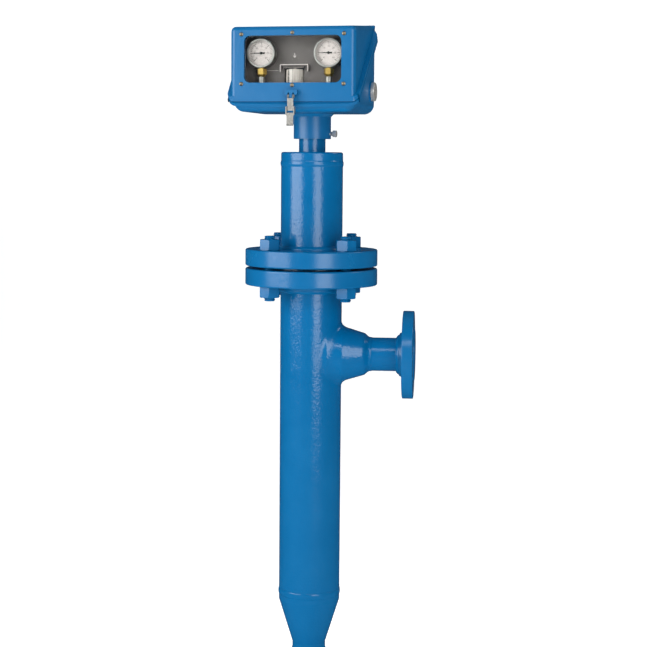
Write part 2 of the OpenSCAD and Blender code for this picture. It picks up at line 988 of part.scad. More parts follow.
// Frame with a pocket for the glass, clamped by the screws
module window_retainer() color(steel) in_head() {
    difference() {
        along_y(glass_front, glass_back + retainer_t)
            translate([0, window_z])
                round_rect(retainer_w, retainer_h, window_r + 4);
        along_y(glass_front - 1, glass_back)
            translate([0, window_z])
                round_rect(glass_w + 0.3, glass_h + 0.3, window_r + 1.6);
        along_y(glass_back - 1, glass_back + retainer_t + 1)
            translate([0, window_z])
                round_rect(window_w, window_h, window_r);
        window_screw_places()
            rod_y(screw_r + run, glass_front - 1, glass_back + retainer_t + 1);
    }
}

module window_screws() color(brass) in_head() {
    window_screw_places() {
        rod_y(screw_r, outer_front - 1, glass_back + retainer_t);
        intersection() {
            rod_y(screw_head_d / 2, outer_front - 1.8, outer_front);
            translate([0, outer_front + 1.7, 0])
                sphere(3.6);
        }
    }
}

// Latch

module strap_pin() color(steel) in_head() {
    rod_x(pin_r, -strap_side - 0.9, strap_side + 0.9, strap_pin_y, strap_pin_z);
}

// Folded strap: two cheeks on the upper pin, a flat front and two lower cheeks
module latch_strap() color(steel) in_head() {
    difference() {
        union() {
            along_y(strap_front, strap_front + strap_t)
                translate([-strap_side, lever_pin_z - 2.2])
                    square([strap_w, strap_pin_z - lever_pin_z - 0.8]);
            for (sx = [-1, 1])
                along_x(sx * strap_mid - strap_t / 2, sx * strap_mid + strap_t / 2) {
                    translate([strap_pin_y, strap_pin_z]) {
                        circle(pin_eye);
                        polygon([
                            [-2.37, 1.07], [strap_front - strap_pin_y, -3],
                            [strap_front - strap_pin_y, -7], [1.7, -1.8]
                        ]);
                    }
                    translate([strap_front, lever_pin_z - 2.2])
                        square([lever_pin_y - strap_front, 8]);
                    translate([lever_pin_y, lever_pin_z])
                        circle(2.2);
                }
        }
        rod_x(pin_r + run, -far, far, strap_pin_y, strap_pin_z);
        rod_x(pin_r + run, -far, far, lever_pin_y, lever_pin_z);
    }
}

module lever_pin() color(steel) in_head() {
    rod_x(pin_r, -lever_side, lever_side, lever_pin_y, lever_pin_z);
}

// Lever: a folded channel with a slot for the strap, drawn out to a rolled finger edge
module latch_lever() color(steel) in_head() {
    front = lever_back - lever_t;
    neck = lever_pin_z - 8;
    tip = lever_pin_z - lever_reach;
    slot = strap_w + 0.9;
    difference() {
        union() {
            for (sx = [-1, 1])
                along_x(sx * (lever_side - lever_t / 2) - lever_t / 2, sx * (lever_side - lever_t / 2) + lever_t / 2)
                    polygon([
                        [front, lever_top], [lever_back + 1, lever_top], [lever_pin_y + 2.4, lever_pin_z + 2],
                        [lever_pin_y + 2.4, lever_pin_z - 2.4], [lever_back, neck], [front, neck]
                    ]);
            along_y(front, lever_back)
                polygon([
                    [-lever_side, lever_top], [lever_side, lever_top], [lever_side, neck],
                    [lever_side - 1.5, neck - 1], [lever_side - 1.5, tip], [1.5 - lever_side, tip],
                    [1.5 - lever_side, neck - 1], [-lever_side, neck]
                ]);
            rod_x(1.2, 1.5 - lever_side, lever_side - 1.5, front + 0.2, tip + 0.8);
        }
        translate([-slot / 2, front - 1, lever_pin_z - 5])
            cube([slot, lever_t + 2, 10]);
        rod_x(pin_r + run, -far, far, lever_pin_y, lever_pin_z);
    }
}

module hub_screw() color(steel) in_head() {
    head_x = hub_d / 2 + 3.5;
    rod_x(hub_screw_r, tube_od / 2 + run, head_x, 0, hub_screw_z);
    translate([head_x, 0, hub_screw_z])
        rotate([0, 90, 0])
            rotate([0, 0, 30])
                hexagon(9.5, 5.5);
}

// Ring fittings screwed into the side walls, one each side
module port_rings() color(steel) in_head() {
    for (sx = [-1, 1])
        translate([sx * pad_x, ring_y, ring_z])
            rotate([0, sx * 90, 0])
                difference() {
                    union() {
                        flange_ring(ring_r, 5.5, ring_bore, 1.5);
                        translate([0, 0, fitting_x - pad_x])
                            cylinder(r = ring_thread - run, h = pad_x - fitting_x + 2);
                    }
                    cylinder(r = ring_bore, h = far, center = true);
                }
}

// Instrument

module frame_screw_places() {
    for (x = [4 - frame_half_w, frame_half_w - 4], y = [panel_y + 16, frame_back - 10])
        translate([x, y, 0])
            children();
}

module panel_screw_places() {
    for (x = [-panel_screw_x, panel_screw_x], z = [panel_low + 5, panel_high - 4])
        translate([x, 0, z])
            children();
}

// Folded frame: floor, two cheeks with front tabs, and the pivot posts
module mounting_frame() color(steel) in_head() {
    cheek_x = 58;
    difference() {
        union() {
            translate([-frame_half_w, panel_y + panel_t, floor_z])
                cube([2 * frame_half_w, frame_back - panel_y - panel_t, sheet]);
            for (sx = [-1, 1]) {
                along_x(sx * cheek_x - sheet / 2, sx * cheek_x + sheet / 2)
                    polygon([
                        [panel_y + panel_t, floor_z], [panel_y + panel_t, panel_high],
                        [panel_y + cheek_top_depth, panel_high],
                        [cheek_back, cheek_step_z], [cheek_back, floor_z]
                    ]);
                along_y(panel_y + panel_t, panel_y + panel_t + sheet)
                    translate([sx * (cheek_x + 6), (panel_high + panel_low) / 2])
                        square([14, panel_high - panel_low], center = true);
            }
            for (y = [arm_y - 10, arm_y + 6.5])
                along_y(y, y + sheet)
                    translate([arm_pivot_x, 0]) {
                        translate([-7, floor_z])
                            square([14, arm_z - floor_z]);
                        translate([0, arm_z])
                            circle(7);
                    }
            along_y(arm_y - 10, arm_y - 10 + sheet)
                translate([arm_pivot_x + 3, arm_z])
                    square([13, 22]);
        }
        frame_screw_places()
            cylinder(r = frame_screw_r + run, h = far, $fn = 32);
        panel_screw_places()
            rod_y(panel_screw_r + run, panel_y, panel_y + 10);
        rod_y(pivot_r, -far, far, arm_pivot_x, arm_z);
        rod_y(1.5 + run, -far, arm_y, arm_pivot_x + 10, arm_z + 17);
    }
}

module frame_screws() color(steel) in_head() {
    frame_screw_places() {
        translate([0, 0, 1])
            cylinder(r = frame_screw_r, h = floor_z + sheet - 1, $fn = 32);
        translate([0, 0, floor_z + sheet])
            cylinder(r1 = 1.5 * frame_screw_r, r2 = 1.2 * frame_screw_r, h = 2.5);
    }
}

// Panel with the wheel's opening, the two shelves that hold its pin and the hood above it
module instrument_panel() color(dark) in_head() {
    opening_w = wheel_d + 3;
    opening_h = wheel_h + 2 * wheel_room;
    hood_w = 40;
    hood_top = 65;
    hood_t = 2;
    difference() {
        union() {
            difference() {
                along_y(panel_y, panel_y + panel_t)
                    translate([0, (panel_low + panel_high) / 2])
                        round_rect(2 * panel_half_w, panel_high - panel_low, 4);
                along_y(panel_y - 1, panel_y + panel_t + 1)
                    translate([wheel_x, wheel_z + wheel_h / 2])
                        square([opening_w, opening_h], center = true);
            }
            for (z = [wheel_z - wheel_room, wheel_z + wheel_h + wheel_room - hood_t])
                translate([wheel_x - opening_w / 2 - 1, panel_y - 5, z])
                    cube([opening_w + 2, 13, hood_t]);
            along_y(panel_y - 6, panel_y + eps)
                translate([wheel_x + 1, hood_top]) {
                    translate([-hood_w / 2, -hood_t])
                        square([hood_w, hood_t]);
                    for (sx = [-1, 1])
                        translate([sx * (hood_w - hood_t) / 2, -5])
                            square([hood_t, 10], center = true);
                }
        }
        panel_screw_places()
            rod_y(panel_screw_r + run, panel_y - 1, panel_y + 10);
        translate([wheel_x, wheel_y, 0])
            cylinder(r = wheel_pin_r + run, h = hood_top - hood_t);
    }
}

module panel_screws() color(steel) in_head() {
    panel_screw_places() {
        rod_y(panel_screw_r, panel_y, panel_y + panel_t + sheet + 1);
        rod_y(2 * panel_screw_r, panel_y - 1.6, panel_y);
    }
}

// Block on the floor that feeds both gauges, its lower front edge cut off for the casing's rounding
module manifold_block() color(steel) in_head() {
    front = block_y - block_depth / 2;
    back = block_y + block_depth / 2;
    along_x(-block_half, block_half)
        polygon([
            [front, block_top], [back, block_top], [back, floor_z],
            [front + 4.5, floor_z], [front, floor_z + 3.5]
        ]);
}

module gauge_couplings() color(steel) in_head() {
    for (sx = [-1, 1])
        translate([sx * gauge_pitch / 2, socket_y, block_top]) {
            cylinder(r = coupling_r, h = socket_low - block_top);
            hexagon(coupling_af, 8);
        }
}

// Cup of a gauge with its rolled bezel, opening towards -y
module gauge_case(x) {
    translate([x, 0, gauge_z])
        difference() {
            translate([0, gauge_back, 0])
                rotate([90, 0, 0])
                    flange_ring(gauge_r, gauge_depth, 0, 1);
            rod_y(gauge_r - 1.4, gauge_front + 1.4, gauge_front + 6.4);
            rod_y(gauge_r - 2.6, gauge_front - 1, gauge_front + 2);
            rod_y(gauge_r - 3.5, gauge_front + 6, gauge_back - 5);
            rod_y(0.6 + run, gauge_front, gauge_back - 2);
            translate([0, socket_y, -gauge_r - 1])
                cylinder(r = socket_r + run, h = 3.5, $fn = 32);
        }
}

module gauge_socket(x) {
    translate([x, socket_y, socket_low]) {
        cylinder(r1 = 4, r2 = 5.9, h = 3);
        translate([0, 0, 3 - eps])
            hexagon(12, 8);
        cylinder(r = socket_r, h = gauge_z - gauge_r + 1.2 - socket_low, $fn = 32);
    }
}

module gauge_dial(x) {
    translate([x, 0, gauge_z])
        difference() {
            rod_y(gauge_r - 1.5, gauge_front + 5.4, gauge_front + 6.4);
            rod_y(1, gauge_front + 5, gauge_front + 7);
        }
}

// Needle with its hub and spindle, resting at nine o'clock
module gauge_pointer(x) {
    translate([x, 0, gauge_z]) {
        rod_y(0.6, gauge_front + 4, gauge_back - 2.5, 0, 0);
        rod_y(1.8, gauge_front + 3.4, gauge_front + 4.6, 0, 0);
        along_y(gauge_front + 3.8, gauge_front + 4.2)
            polygon([[-13, -0.2], [-13, 0.2], [0, 0.8], [5, 1.1], [5, -1.1], [0, -0.8]]);
    }
}

module gauge_lens(x) {
    translate([x, 0, gauge_z])
        rod_y(gauge_r - 1.5, gauge_front + 1.5, gauge_front + 2.5);
}

module supply_gauge_case() color(steel) in_head() {
    gauge_case(-gauge_pitch / 2);
}

module supply_gauge_socket() color(brass) in_head() {
    gauge_socket(-gauge_pitch / 2);
}

module supply_gauge_dial() color("#d9d3cb") in_head() {
    gauge_dial(-gauge_pitch / 2);
}

module supply_gauge_pointer() color("black") in_head() {
    gauge_pointer(-gauge_pitch / 2);
}

module supply_gauge_lens() color("#c8d8dc", 0.35) in_head() {
    gauge_lens(-gauge_pitch / 2);
}

module output_gauge_case() color(steel) in_head() {
    gauge_case(gauge_pitch / 2);
}

module output_gauge_socket() color(brass) in_head() {
    gauge_socket(gauge_pitch / 2);
}

module output_gauge_dial() color("#d9d3cb") in_head() {
    gauge_dial(gauge_pitch / 2);
}

module output_gauge_pointer() color("black") in_head() {
    gauge_pointer(gauge_pitch / 2);
}

module output_gauge_lens() color("#c8d8dc", 0.35) in_head() {
    gauge_lens(gauge_pitch / 2);
}

// Arm that follows the sleeve, with the flapper blade above its pivot
module magnet_arm() color(steel) in_head() {
    difference() {
        union() {
            along_y(arm_y - arm_t / 2, arm_y + arm_t / 2) {
                translate([arm_pivot_x - 12, arm_z - 3])
                    square([12 - arm_pivot_x - 8, 6]);
                translate([arm_pivot_x, arm_z])
                    circle(5);
            }
            along_y(arm_y - arm_t / 2, arm_y + arm_t / 2)
                translate([arm_pivot_x - 0.6, arm_z])
                    square([1.2, 21]);
        }
        rod_y(pivot_r + run, -far, far, arm_pivot_x, arm_z);
    }
}

// Magnet on the arm's end, close to the tube
module arm_magnet() color(dark) in_head() {
    front = arm_y - arm_t / 2;
    translate([-8, front, arm_z - 9])
        cube([16, -inner_tube_od / 2 - 1.2 - front, 18]);
}

module arm_pivot() color(steel) in_head() {
    rod_y(pivot_r, arm_y - 11, arm_y + 10.5, arm_pivot_x, arm_z);
    rod_y(3, arm_y - 12, arm_y - 10, arm_pivot_x, arm_z);
}

// Jet that the flapper covers
module nozzle_jet() color(brass) in_head() {
    x = arm_pivot_x + 10;
    z = arm_z + 17;
    rod_y(1.5, arm_y - 14, arm_y, x, z);
    rod_x(2.4, arm_pivot_x + 1.2, x + 3, arm_y, z);
    rod_y(3, arm_y - 14, arm_y - 10, x, z);
}

module relay_block() color(steel) in_head() {
    size = 34;
    body_h = 14;
    disc_h = 6;
    dome_z = body_h + 3 * disc_h;
    dome_h = 5;
    translate([relay_x, relay_y, floor_z + sheet]) {
        translate([-size / 2, -size / 2, 0])
            cube([size, size, body_h]);
        for (i = [0:2])
            translate([0, 0, body_h + disc_h * i]) {
                cylinder(r = size / 2 - 2, h = disc_h - 2);
                translate([0, 0, disc_h - 2])
                    cylinder(r = size / 2 - 4.5, h = 2);
            }
        translate([0, 0, dome_z])
            cylinder(r1 = size / 2 - 2, r2 = size / 3, h = dome_h);
        translate([0, 0, dome_z + dome_h])
            hexagon(8, 5);
    }
}

// Bellows with round convolutions between two end plates
module feedback_bellows() color(brass) in_head() {
    folds = 7;
    pitch = 3.6;
    translate([bellows_x, bellows_y, floor_z + sheet]) {
        cylinder(r = 11, h = 3);
        translate([0, 0, 3 - eps])
            cylinder(r = 8, h = folds * pitch + 2 * eps);
        for (i = [0:folds - 1])
            translate([0, 0, 3 + pitch * (i + 0.5)])
                rotate_extrude() {
                    translate([9.2, 0])
                        circle(1.1, $fn = 24);
                    translate([7, -1.1])
                        square([2.2, 2.2]);
                }
        translate([0, 0, 3 + folds * pitch])
            cylinder(r = 10, h = 2.5);
        cylinder(r = 1.6, h = 12 + folds * pitch);
    }
}

// Tubes from the nuts on the side fittings, down and forward to the ends of the block
module air_tubes() color(steel) in_head() {
    tube_r = 3.2;
    drop_y = block_y + 17.5;
    low_z = floor_z + 7;
    for (side = [0, 1])
        mirror([side, 0, 0]) {
            rod_x(7.5, tube_x, fitting_x, ring_y, ring_z);
            rod_y(tube_r, drop_y, ring_y, tube_x, ring_z);
            translate([tube_x, drop_y, low_z])
                cylinder(r = tube_r, h = ring_z - low_z);
            rod_y(tube_r, block_y, drop_y, tube_x, low_z);
            rod_x(tube_r, block_half, tube_x, block_y, low_z);
            for (bend = [[ring_y, ring_z], [drop_y, ring_z], [drop_y, low_z], [block_y, low_z]])
                translate([tube_x, bend[0], bend[1]])
                    sphere(tube_r + 0.3);
        }
}

// Ribbed wheel on an upright pin
module set_point_wheel() color("#cfc8c0") in_head() {
    ribs = 30;
    translate([wheel_x, wheel_y, wheel_z]) {
        cylinder(r = wheel_d / 2 - 0.7, h = wheel_h);
        for (i = [0:ribs - 1])
            rotate([0, 0, 360 * i / ribs])
                translate([wheel_d / 2 - 1.4, -0.6, 0.8])
                    cube([1.4, 1.2, wheel_h - 1.6]);
        translate([0, 0, -3])
            cylinder(r = wheel_pin_r, h = wheel_h + 6);
    }
}

chamber_tube();
chamber_flange();
side_boss();
side_pipe();
side_flange();
bottom_reducer();
bottom_pipe();
bottom_flange();
flange_gasket();
head_flange();
flange_studs();
upper_nuts();
lower_nuts();
spring_housing();
housing_cap();
enclosing_tube();
spring_seat();
range_spring();
spring_plate();
stem();
displacer();
attraction_sleeve();
head_base();
cover_gasket();
head_cover();
hinge_pin();
window_gasket();
window_glass();
window_retainer();
window_screws();
strap_pin();
latch_strap();
lever_pin();
latch_lever();
hub_screw();
port_rings();
mounting_frame();
frame_screws();
instrument_panel();
panel_screws();
manifold_block();
gauge_couplings();
supply_gauge_case();
supply_gauge_socket();
supply_gauge_dial();
supply_gauge_pointer();
supply_gauge_lens();
output_gauge_case();
output_gauge_socket();
output_gauge_dial();
output_gauge_pointer();
output_gauge_lens();
magnet_arm();
arm_magnet();
arm_pivot();
nozzle_jet();
relay_block();
feedback_bellows();
air_tubes();
set_point_wheel();
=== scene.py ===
"""Looks of a displacer level transmitter: a welded blue cage with a wedge-shaped instrument head on top.

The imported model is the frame. Each section below dresses or rebuilds one group of its pieces, from the
cage up to the head, its latch and the instrument inside. Lengths are in metres unless a name says mm.
"""

import math

import bmesh
import bpy
import numpy as np
from mathutils import Matrix, Vector


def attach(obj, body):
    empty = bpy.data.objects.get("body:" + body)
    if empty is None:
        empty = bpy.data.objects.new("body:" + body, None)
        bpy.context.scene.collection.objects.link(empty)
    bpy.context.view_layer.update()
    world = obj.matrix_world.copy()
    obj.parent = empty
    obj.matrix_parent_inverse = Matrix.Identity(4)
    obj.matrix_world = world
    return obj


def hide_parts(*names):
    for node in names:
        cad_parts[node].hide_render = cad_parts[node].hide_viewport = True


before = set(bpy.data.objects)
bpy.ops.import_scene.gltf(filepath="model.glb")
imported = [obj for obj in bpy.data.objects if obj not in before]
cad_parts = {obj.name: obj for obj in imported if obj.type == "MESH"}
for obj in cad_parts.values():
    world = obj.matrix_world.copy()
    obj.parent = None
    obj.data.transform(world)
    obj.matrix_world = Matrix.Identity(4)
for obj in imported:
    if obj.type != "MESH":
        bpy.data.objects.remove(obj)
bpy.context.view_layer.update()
mm = 0.001

# Studio. White paper hung as a sweep, so that floor and wall are one curve. The camera stands a little
# right of the front at the height of the spring housing. Soft boxes light the part from left and right.
camera_turn, camera_distance, camera_height = math.radians(5.5), 2.3, 0.7774
camera_yaw, camera_pitch, camera_roll = math.radians(0.47), math.radians(5.817), math.radians(0.45)

camera_data = bpy.data.cameras.new("camera")
camera_data.lens, camera_data.sensor_width = 88.6, 36
camera_data.clip_start, camera_data.clip_end = 0.1, 50
camera = bpy.data.objects.new("camera", camera_data)
camera.matrix_world = (
    Matrix.Translation((
        camera_distance * math.sin(camera_turn), -camera_distance * math.cos(camera_turn), camera_height,
    ))
    @ Matrix.Rotation(camera_turn - camera_yaw, 4, "Z")
    @ Matrix.Rotation(math.pi / 2 - camera_pitch, 4, "X")
    @ Matrix.Rotation(camera_roll, 4, "Z")
)
bpy.context.scene.collection.objects.link(camera)
bpy.context.scene.camera = camera
bpy.context.scene.view_settings.view_transform = "Standard"


def linear(code):
    """An sRGB hex colour as linear RGBA, by the standard's own curve."""
    c = np.array([int(code[i:i + 2], 16) for i in (1, 3, 5)]) / 255
    return (*np.where(c <= 0.04045, c / 12.92, ((c + 0.055) / 1.055) ** 2.4), 1.0)


def add_node(tree, kind, settings=(), feeds=()):
    """Adds one node. settings gives its properties and unlinked inputs by name, feeds the sockets that are
    linked to its inputs."""
    made = tree.nodes.new(kind)
    for name, value in dict(settings).items():
        if isinstance(name, int) or name in made.inputs:
            made.inputs[name].default_value = value
        else:
            setattr(made, name, value)
    for name, socket in dict(feeds).items():
        tree.links.new(socket, made.inputs[name])
    return made


def new_material(name):
    """A material with an empty node tree, and the Object coordinates in it."""
    material = bpy.data.materials.new(name)
    material.use_nodes = True
    tree = material.node_tree
    tree.nodes.clear()
    return material, tree, add_node(tree, "ShaderNodeTexCoord").outputs["Object"]


# Matt white paper: it scatters all light and shows no gloss, so the part stands in plain white. Its pulp
# lies in faint clouds some 25 mm across.
pulp_cloud_mm = 25.0
paper, tree, spot = new_material("matt_white_paper")
pulp = add_node(tree, "ShaderNodeTexNoise", {"Scale": 1 / (pulp_cloud_mm * mm), "Detail": 3.0},
                {"Vector": spot})
pulp_relief = add_node(tree, "ShaderNodeBump", {"Strength": 0.05, "Distance": mm},
                       {"Height": pulp.outputs["Fac"]})
sheet = add_node(tree, "ShaderNodeBsdfPrincipled", {
    "Base Color": linear("#f4f4f2"), "Roughness": 0.9, "Specular IOR Level": 0.1,
    "Emission Color": linear("#ffffff"), "Emission Strength": 0.5,
}, {"Normal": pulp_relief.outputs["Normal"]})
add_node(tree, "ShaderNodeOutputMaterial", {}, {"Surface": sheet.outputs["BSDF"]})

# The sweep's section in y and z, a floor, a bend and a wall, is carried along x. Gloss doesn't see it.
sweep_width, floor_rows, bend_y, bend_radius, sweep_top = 9.0, [-4.0, -1.0, 0.6], 2.2, 1.4, 5.0
bend = np.linspace(0, np.pi / 2, 24)
sweep_y = np.concatenate([floor_rows, bend_y + bend_radius * np.sin(bend), [bend_y + bend_radius]])
sweep_z = np.concatenate([[0.0] * len(floor_rows), bend_radius * (1 - np.cos(bend)), [sweep_top]])
sweep_x = np.linspace(-sweep_width / 2, sweep_width / 2, 5)
sweep_points = np.stack(np.broadcast_arrays(sweep_x[:, None], sweep_y[None], sweep_z[None]), -1)
index = np.arange(len(sweep_x) * len(sweep_y)).reshape(len(sweep_x), len(sweep_y))
sweep_quads = np.stack([index[:-1, :-1], index[1:, :-1], index[1:, 1:], index[:-1, 1:]], -1)
sweep_mesh = bpy.data.meshes.new("paper_sweep")
sweep_mesh.from_pydata(sweep_points.reshape(-1, 3).tolist(), [], sweep_quads.reshape(-1, 4).tolist())
sweep_mesh.shade_smooth()
sweep_mesh.materials.append(paper)
sweep = bpy.data.objects.new("paper_sweep", sweep_mesh)
sweep.visible_glossy = False
bpy.context.scene.collection.objects.link(sweep)

# Each lamp: place, the point it faces, width, height, power in watts, and whether gloss mirrors it. The two
# soft boxes are wide enough to show as the pair of upright bands on the housing. The left one ends where
# the front face of the head just begins to mirror it.
lamps = {
    "left_soft_box": ((-1.52, -1.14, 1.12), (0, 0, 0.95), 1.55, 1.3, 31.0, True),
    "right_soft_box": ((0.84, -1.63, 0.98), (0, 0, 0.78), 0.9, 1.5, 17.0, True),
    "overhead_box": ((-0.2, 0.25, 2.6), (0, 0, 0.6), 1.8, 1.5, 16.0, False),
    "rear_kicker": ((1.75, 0.5, 1.75), (0, 0, 0.9), 0.5, 0.4, 3.0, True),
    "front_top_card": ((-0.1, -2.1, 2.1), (0, 0, 0.8), 0.9, 0.4, 5.0, True),
    "low_fill": ((-0.9, -2.6, 0.35), (0, 0, 0.35), 1.4, 0.5, 3.0, False),
}
for name, (place, target, width, height, power, mirrored) in lamps.items():
    lamp_data = bpy.data.lights.new(name, "AREA")
    lamp_data.shape, lamp_data.size, lamp_data.size_y, lamp_data.energy = "RECTANGLE", width, height, power
    lamp = bpy.data.objects.new(name, lamp_data)
    aim = (Vector(target) - Vector(place)).to_track_quat("-Z", "Y").to_matrix().to_4x4()
    lamp.matrix_world = Matrix.Translation(place) @ aim
    lamp.visible_camera, lamp.visible_glossy = False, mirrored
    bpy.context.scene.collection.objects.link(lamp)

# The room round the paper fills the shadows, and is darker to gloss, which finds little there. To the
# camera it is brighter than white.
room_fill, room_in_gloss, room_seen = 0.28, 0.045, 1.1
world = bpy.data.worlds.new("studio_room")
world.use_nodes = True
room = world.node_tree
room_ray = add_node(room, "ShaderNodeLightPath")
room_light = add_node(room, "ShaderNodeMapRange", {"To Min": room_fill, "To Max": room_in_gloss},
                      {"Value": room_ray.outputs["Is Glossy Ray"]})
room.nodes["Background"].inputs["Color"].default_value = linear("#cfd6dc")
room_strength = add_node(room, "ShaderNodeMath", {"operation": "MULTIPLY_ADD", 1: room_seen},
                         {0: room_ray.outputs["Is Camera Ray"], 2: room_light.outputs["Result"]})
room.links.new(room_strength.outputs["Value"], room.nodes["Background"].inputs["Strength"])
bpy.context.scene.world = world

# Cage pipework: chamber, reducer, foot, side pipe, spring housing, cap and enclosing tube. Carbon steel
# pipe, welded, blasted and sprayed with blue two-pack enamel.
coat_thin, coat_thick, coat_drift_mm = "#005a8e", "#00669c", 55.0


def sprayed_enamel(name, peel_mm, peel_depth_mm, wave_mm, wave_depth_mm, roughness):
    """Blue enamel. Noise of peel_mm is its orange peel, noise of wave_mm the unevenness of the metal under
    it. A drift over some 55 mm thins and thickens the coat, which shifts its colour and gloss a little."""
    material, tree, spot = new_material(name)
    drift = add_node(tree, "ShaderNodeTexNoise",
                     {"Scale": 1 / (coat_drift_mm * mm), "Detail": 4.0, "Roughness": 0.6}, {"Vector": spot})
    coat = add_node(tree, "ShaderNodeMix", {"data_type": "RGBA", 6: linear(coat_thin), 7: linear(coat_thick)},
                    {"Factor": drift.outputs["Fac"]})
    gloss = add_node(tree, "ShaderNodeMapRange", {
        "From Min": 0.3, "From Max": 0.7, "To Min": roughness * 0.85, "To Max": roughness * 1.15,
    }, {"Value": drift.outputs["Fac"]})
    wave = add_node(tree, "ShaderNodeTexNoise", {"Scale": 1 / (wave_mm * mm), "Detail": 1.0},
                    {"Vector": spot})
    peel = add_node(tree, "ShaderNodeTexNoise", {"Scale": 1 / (peel_mm * mm), "Detail": 2.0},
                    {"Vector": spot})
    metal = add_node(tree, "ShaderNodeBump", {"Distance": wave_depth_mm * mm},
                     {"Height": wave.outputs["Fac"]})
    skin = add_node(tree, "ShaderNodeBump", {"Distance": peel_depth_mm * mm},
                    {"Height": peel.outputs["Fac"], "Normal": metal.outputs["Normal"]})
    film = add_node(tree, "ShaderNodeBsdfPrincipled", {"IOR": 1.5}, {
        "Base Color": coat.outputs[2], "Roughness": gloss.outputs["Result"],
        "Normal": skin.outputs["Normal"],
    })
    add_node(tree, "ShaderNodeOutputMaterial", {}, {"Surface": film.outputs["BSDF"]})
    return material


def dress(material, *nodes):
    """Gives each CAD node this finish, in every material slot of its mesh."""
    for name in nodes:
        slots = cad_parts[name].data.materials
        for i in range(len(slots)):
            slots[i] = material


# Two-pack enamel on rolled pipe: high gloss and a faint peel, so the soft boxes show as long soft bands.
pipe_enamel = sprayed_enamel("blue_enamel_on_pipe", peel_mm=3.4, peel_depth_mm=0.3, wave_mm=22.0,
                             wave_depth_mm=0.4, roughness=0.19)
dress(pipe_enamel, "chamber_tube", "bottom_reducer", "bottom_pipe", "side_pipe",
      "spring_housing", "housing_cap", "enclosing_tube")

# Weld beads. Two or three passes of arc weld join each flange, boss and reducer to its pipe. The enamel
# lies over them, and the half-moon ripples of the weld pool still show through it.
pipe_r_mm, branch_r_mm, side_reach_mm, side_z_mm = 44.45, 24.15, 151.0, 500.0
# Seams on the column: under the chamber flange, over the head flange, at the reducer's two ends.
chamber_seam_mm, housing_seam_mm, reducer_seam_mm, foot_seam_mm = 591.3, 653.8, 149.0, 60.0
# Seams behind the face of a small flange: its own, and the one where the side pipe meets the boss.
flange_seam_mm, boss_seam_mm = 24.4, 65.5
# Width and height of the beads. A fillet lies at 45 degrees in its corner, its middle 2.4 mm off the pipe.
fillet_bead_mm, pipe_bead_mm, branch_bead_mm = (6.6, 1.2), (9.0, 0.9), (7.0, 0.8)
fillet_lean_deg, fillet_off_mm = 45, 2.4
ripple_mm, ripple_lag, bead_low, bead_swing, bead_root_mm = 3.2, 0.35, 0.93, 0.1, 0.4
turns = np.linspace(0, 2 * np.pi, 360, endpoint=False)


def weld_bead(seam, side, out, width_mm, height_mm):
    """A closed bead along a closed seam of points. Its section is a low half-round, width_mm along side and
    height_mm along out. The height swells and sinks once each ripple of seam, later in the middle of the
    bead than at its toes, which bends each ripple into a half-moon."""
    along = np.concatenate([[0], np.cumsum(np.linalg.norm(np.diff(seam, axis=0), axis=1))])
    total = along[-1] + np.linalg.norm(seam[0] - seam[-1])
    count = max(1, round(total / (ripple_mm * mm)))
    turn = np.linspace(0, np.pi, 9)
    across, rise = np.cos(turn), np.sin(turn)
    phase = along[:, None] / total * count - ripple_lag * rise
    swell = bead_low + bead_swing * np.abs(np.sin(np.pi * phase))
    half = width_mm * mm / 2
    top = (seam[:, None] + side[:, None] * (across * half)[None, :, None]
           + out[:, None] * (rise[None] * swell * height_mm * mm)[..., None])
    root = seam - out * bead_root_mm * mm
    return np.concatenate([top, root[:, None]], 1)


def round_seam(radius_mm, height_mm, lean_deg, width_mm, bead_mm):
    """A bead round the column. lean_deg is how far its outward direction rises from the horizontal."""
    ring = np.stack([np.cos(turns), np.sin(turns), np.zeros_like(turns)], -1)
    lift = np.array([0, 0, 1.0])
    lean = math.radians(lean_deg)
    out = ring * math.cos(lean) + lift * math.sin(lean)
    side = -ring * math.sin(lean) + lift * math.cos(lean)
    return weld_bead(ring * radius_mm * mm + lift * height_mm * mm, side, out, width_mm, bead_mm)


def onto_side(grid):
    """Carries a bead made round the column to the side connection: its height becomes the distance behind
    the face of the side flange."""
    x, y, z = grid[..., 0], grid[..., 1], grid[..., 2]
    return np.stack([side_reach_mm * mm - z, y, x + side_z_mm * mm], -1)


def shell(grid, ring=False):
    """Vertices and faces over a grid of points whose columns close on themselves. With ring its rows close
    too. Otherwise the middles of the first and last rows become poles. Columns run anticlockwise seen from
    the last row."""
    rows, columns = grid.shape[:2]
    index = np.arange(rows * columns).reshape(rows, columns)
    low, high = (index, np.roll(index, -1, 0)) if ring else (index[:-1], index[1:])
    quads = np.stack([low, np.roll(low, -1, 1), np.roll(high, -1, 1), high], -1).reshape(-1, 4).tolist()
    if ring:
        return grid.reshape(-1, 3), quads
    first, last = index[0], index[-1]
    pole = np.full(columns, rows * columns)
    ends = np.concatenate([
        np.stack([np.roll(first, -1), first, pole], -1),
        np.stack([last, np.roll(last, -1), pole + 1], -1),
    ]).tolist()
    return np.vstack([grid.reshape(-1, 3), grid[0].mean(0), grid[-1].mean(0)]), quads + ends


def joined(parts):
    """One list of vertices and one of faces from several pairs of them."""
    vertices, faces, count = [], [], 0
    for part_vertices, part_faces in parts:
        vertices.append(np.asarray(part_vertices))
        faces += [[i + count for i in face] for face in part_faces]
        count += len(part_vertices)
    return np.vstack(vertices), faces


def smooth_mesh(name, vertices, faces, material, edge_deg):
    """A mesh that is shaded smooth, but for edges sharper than edge_deg."""
    mesh = bpy.data.meshes.new(name)
    mesh.from_pydata(np.asarray(vertices).tolist(), [], [list(map(int, face)) for face in faces])
    mesh.shade_smooth()
    mesh.set_sharp_from_angle(angle=math.radians(edge_deg))
    mesh.materials.append(material)
    return mesh


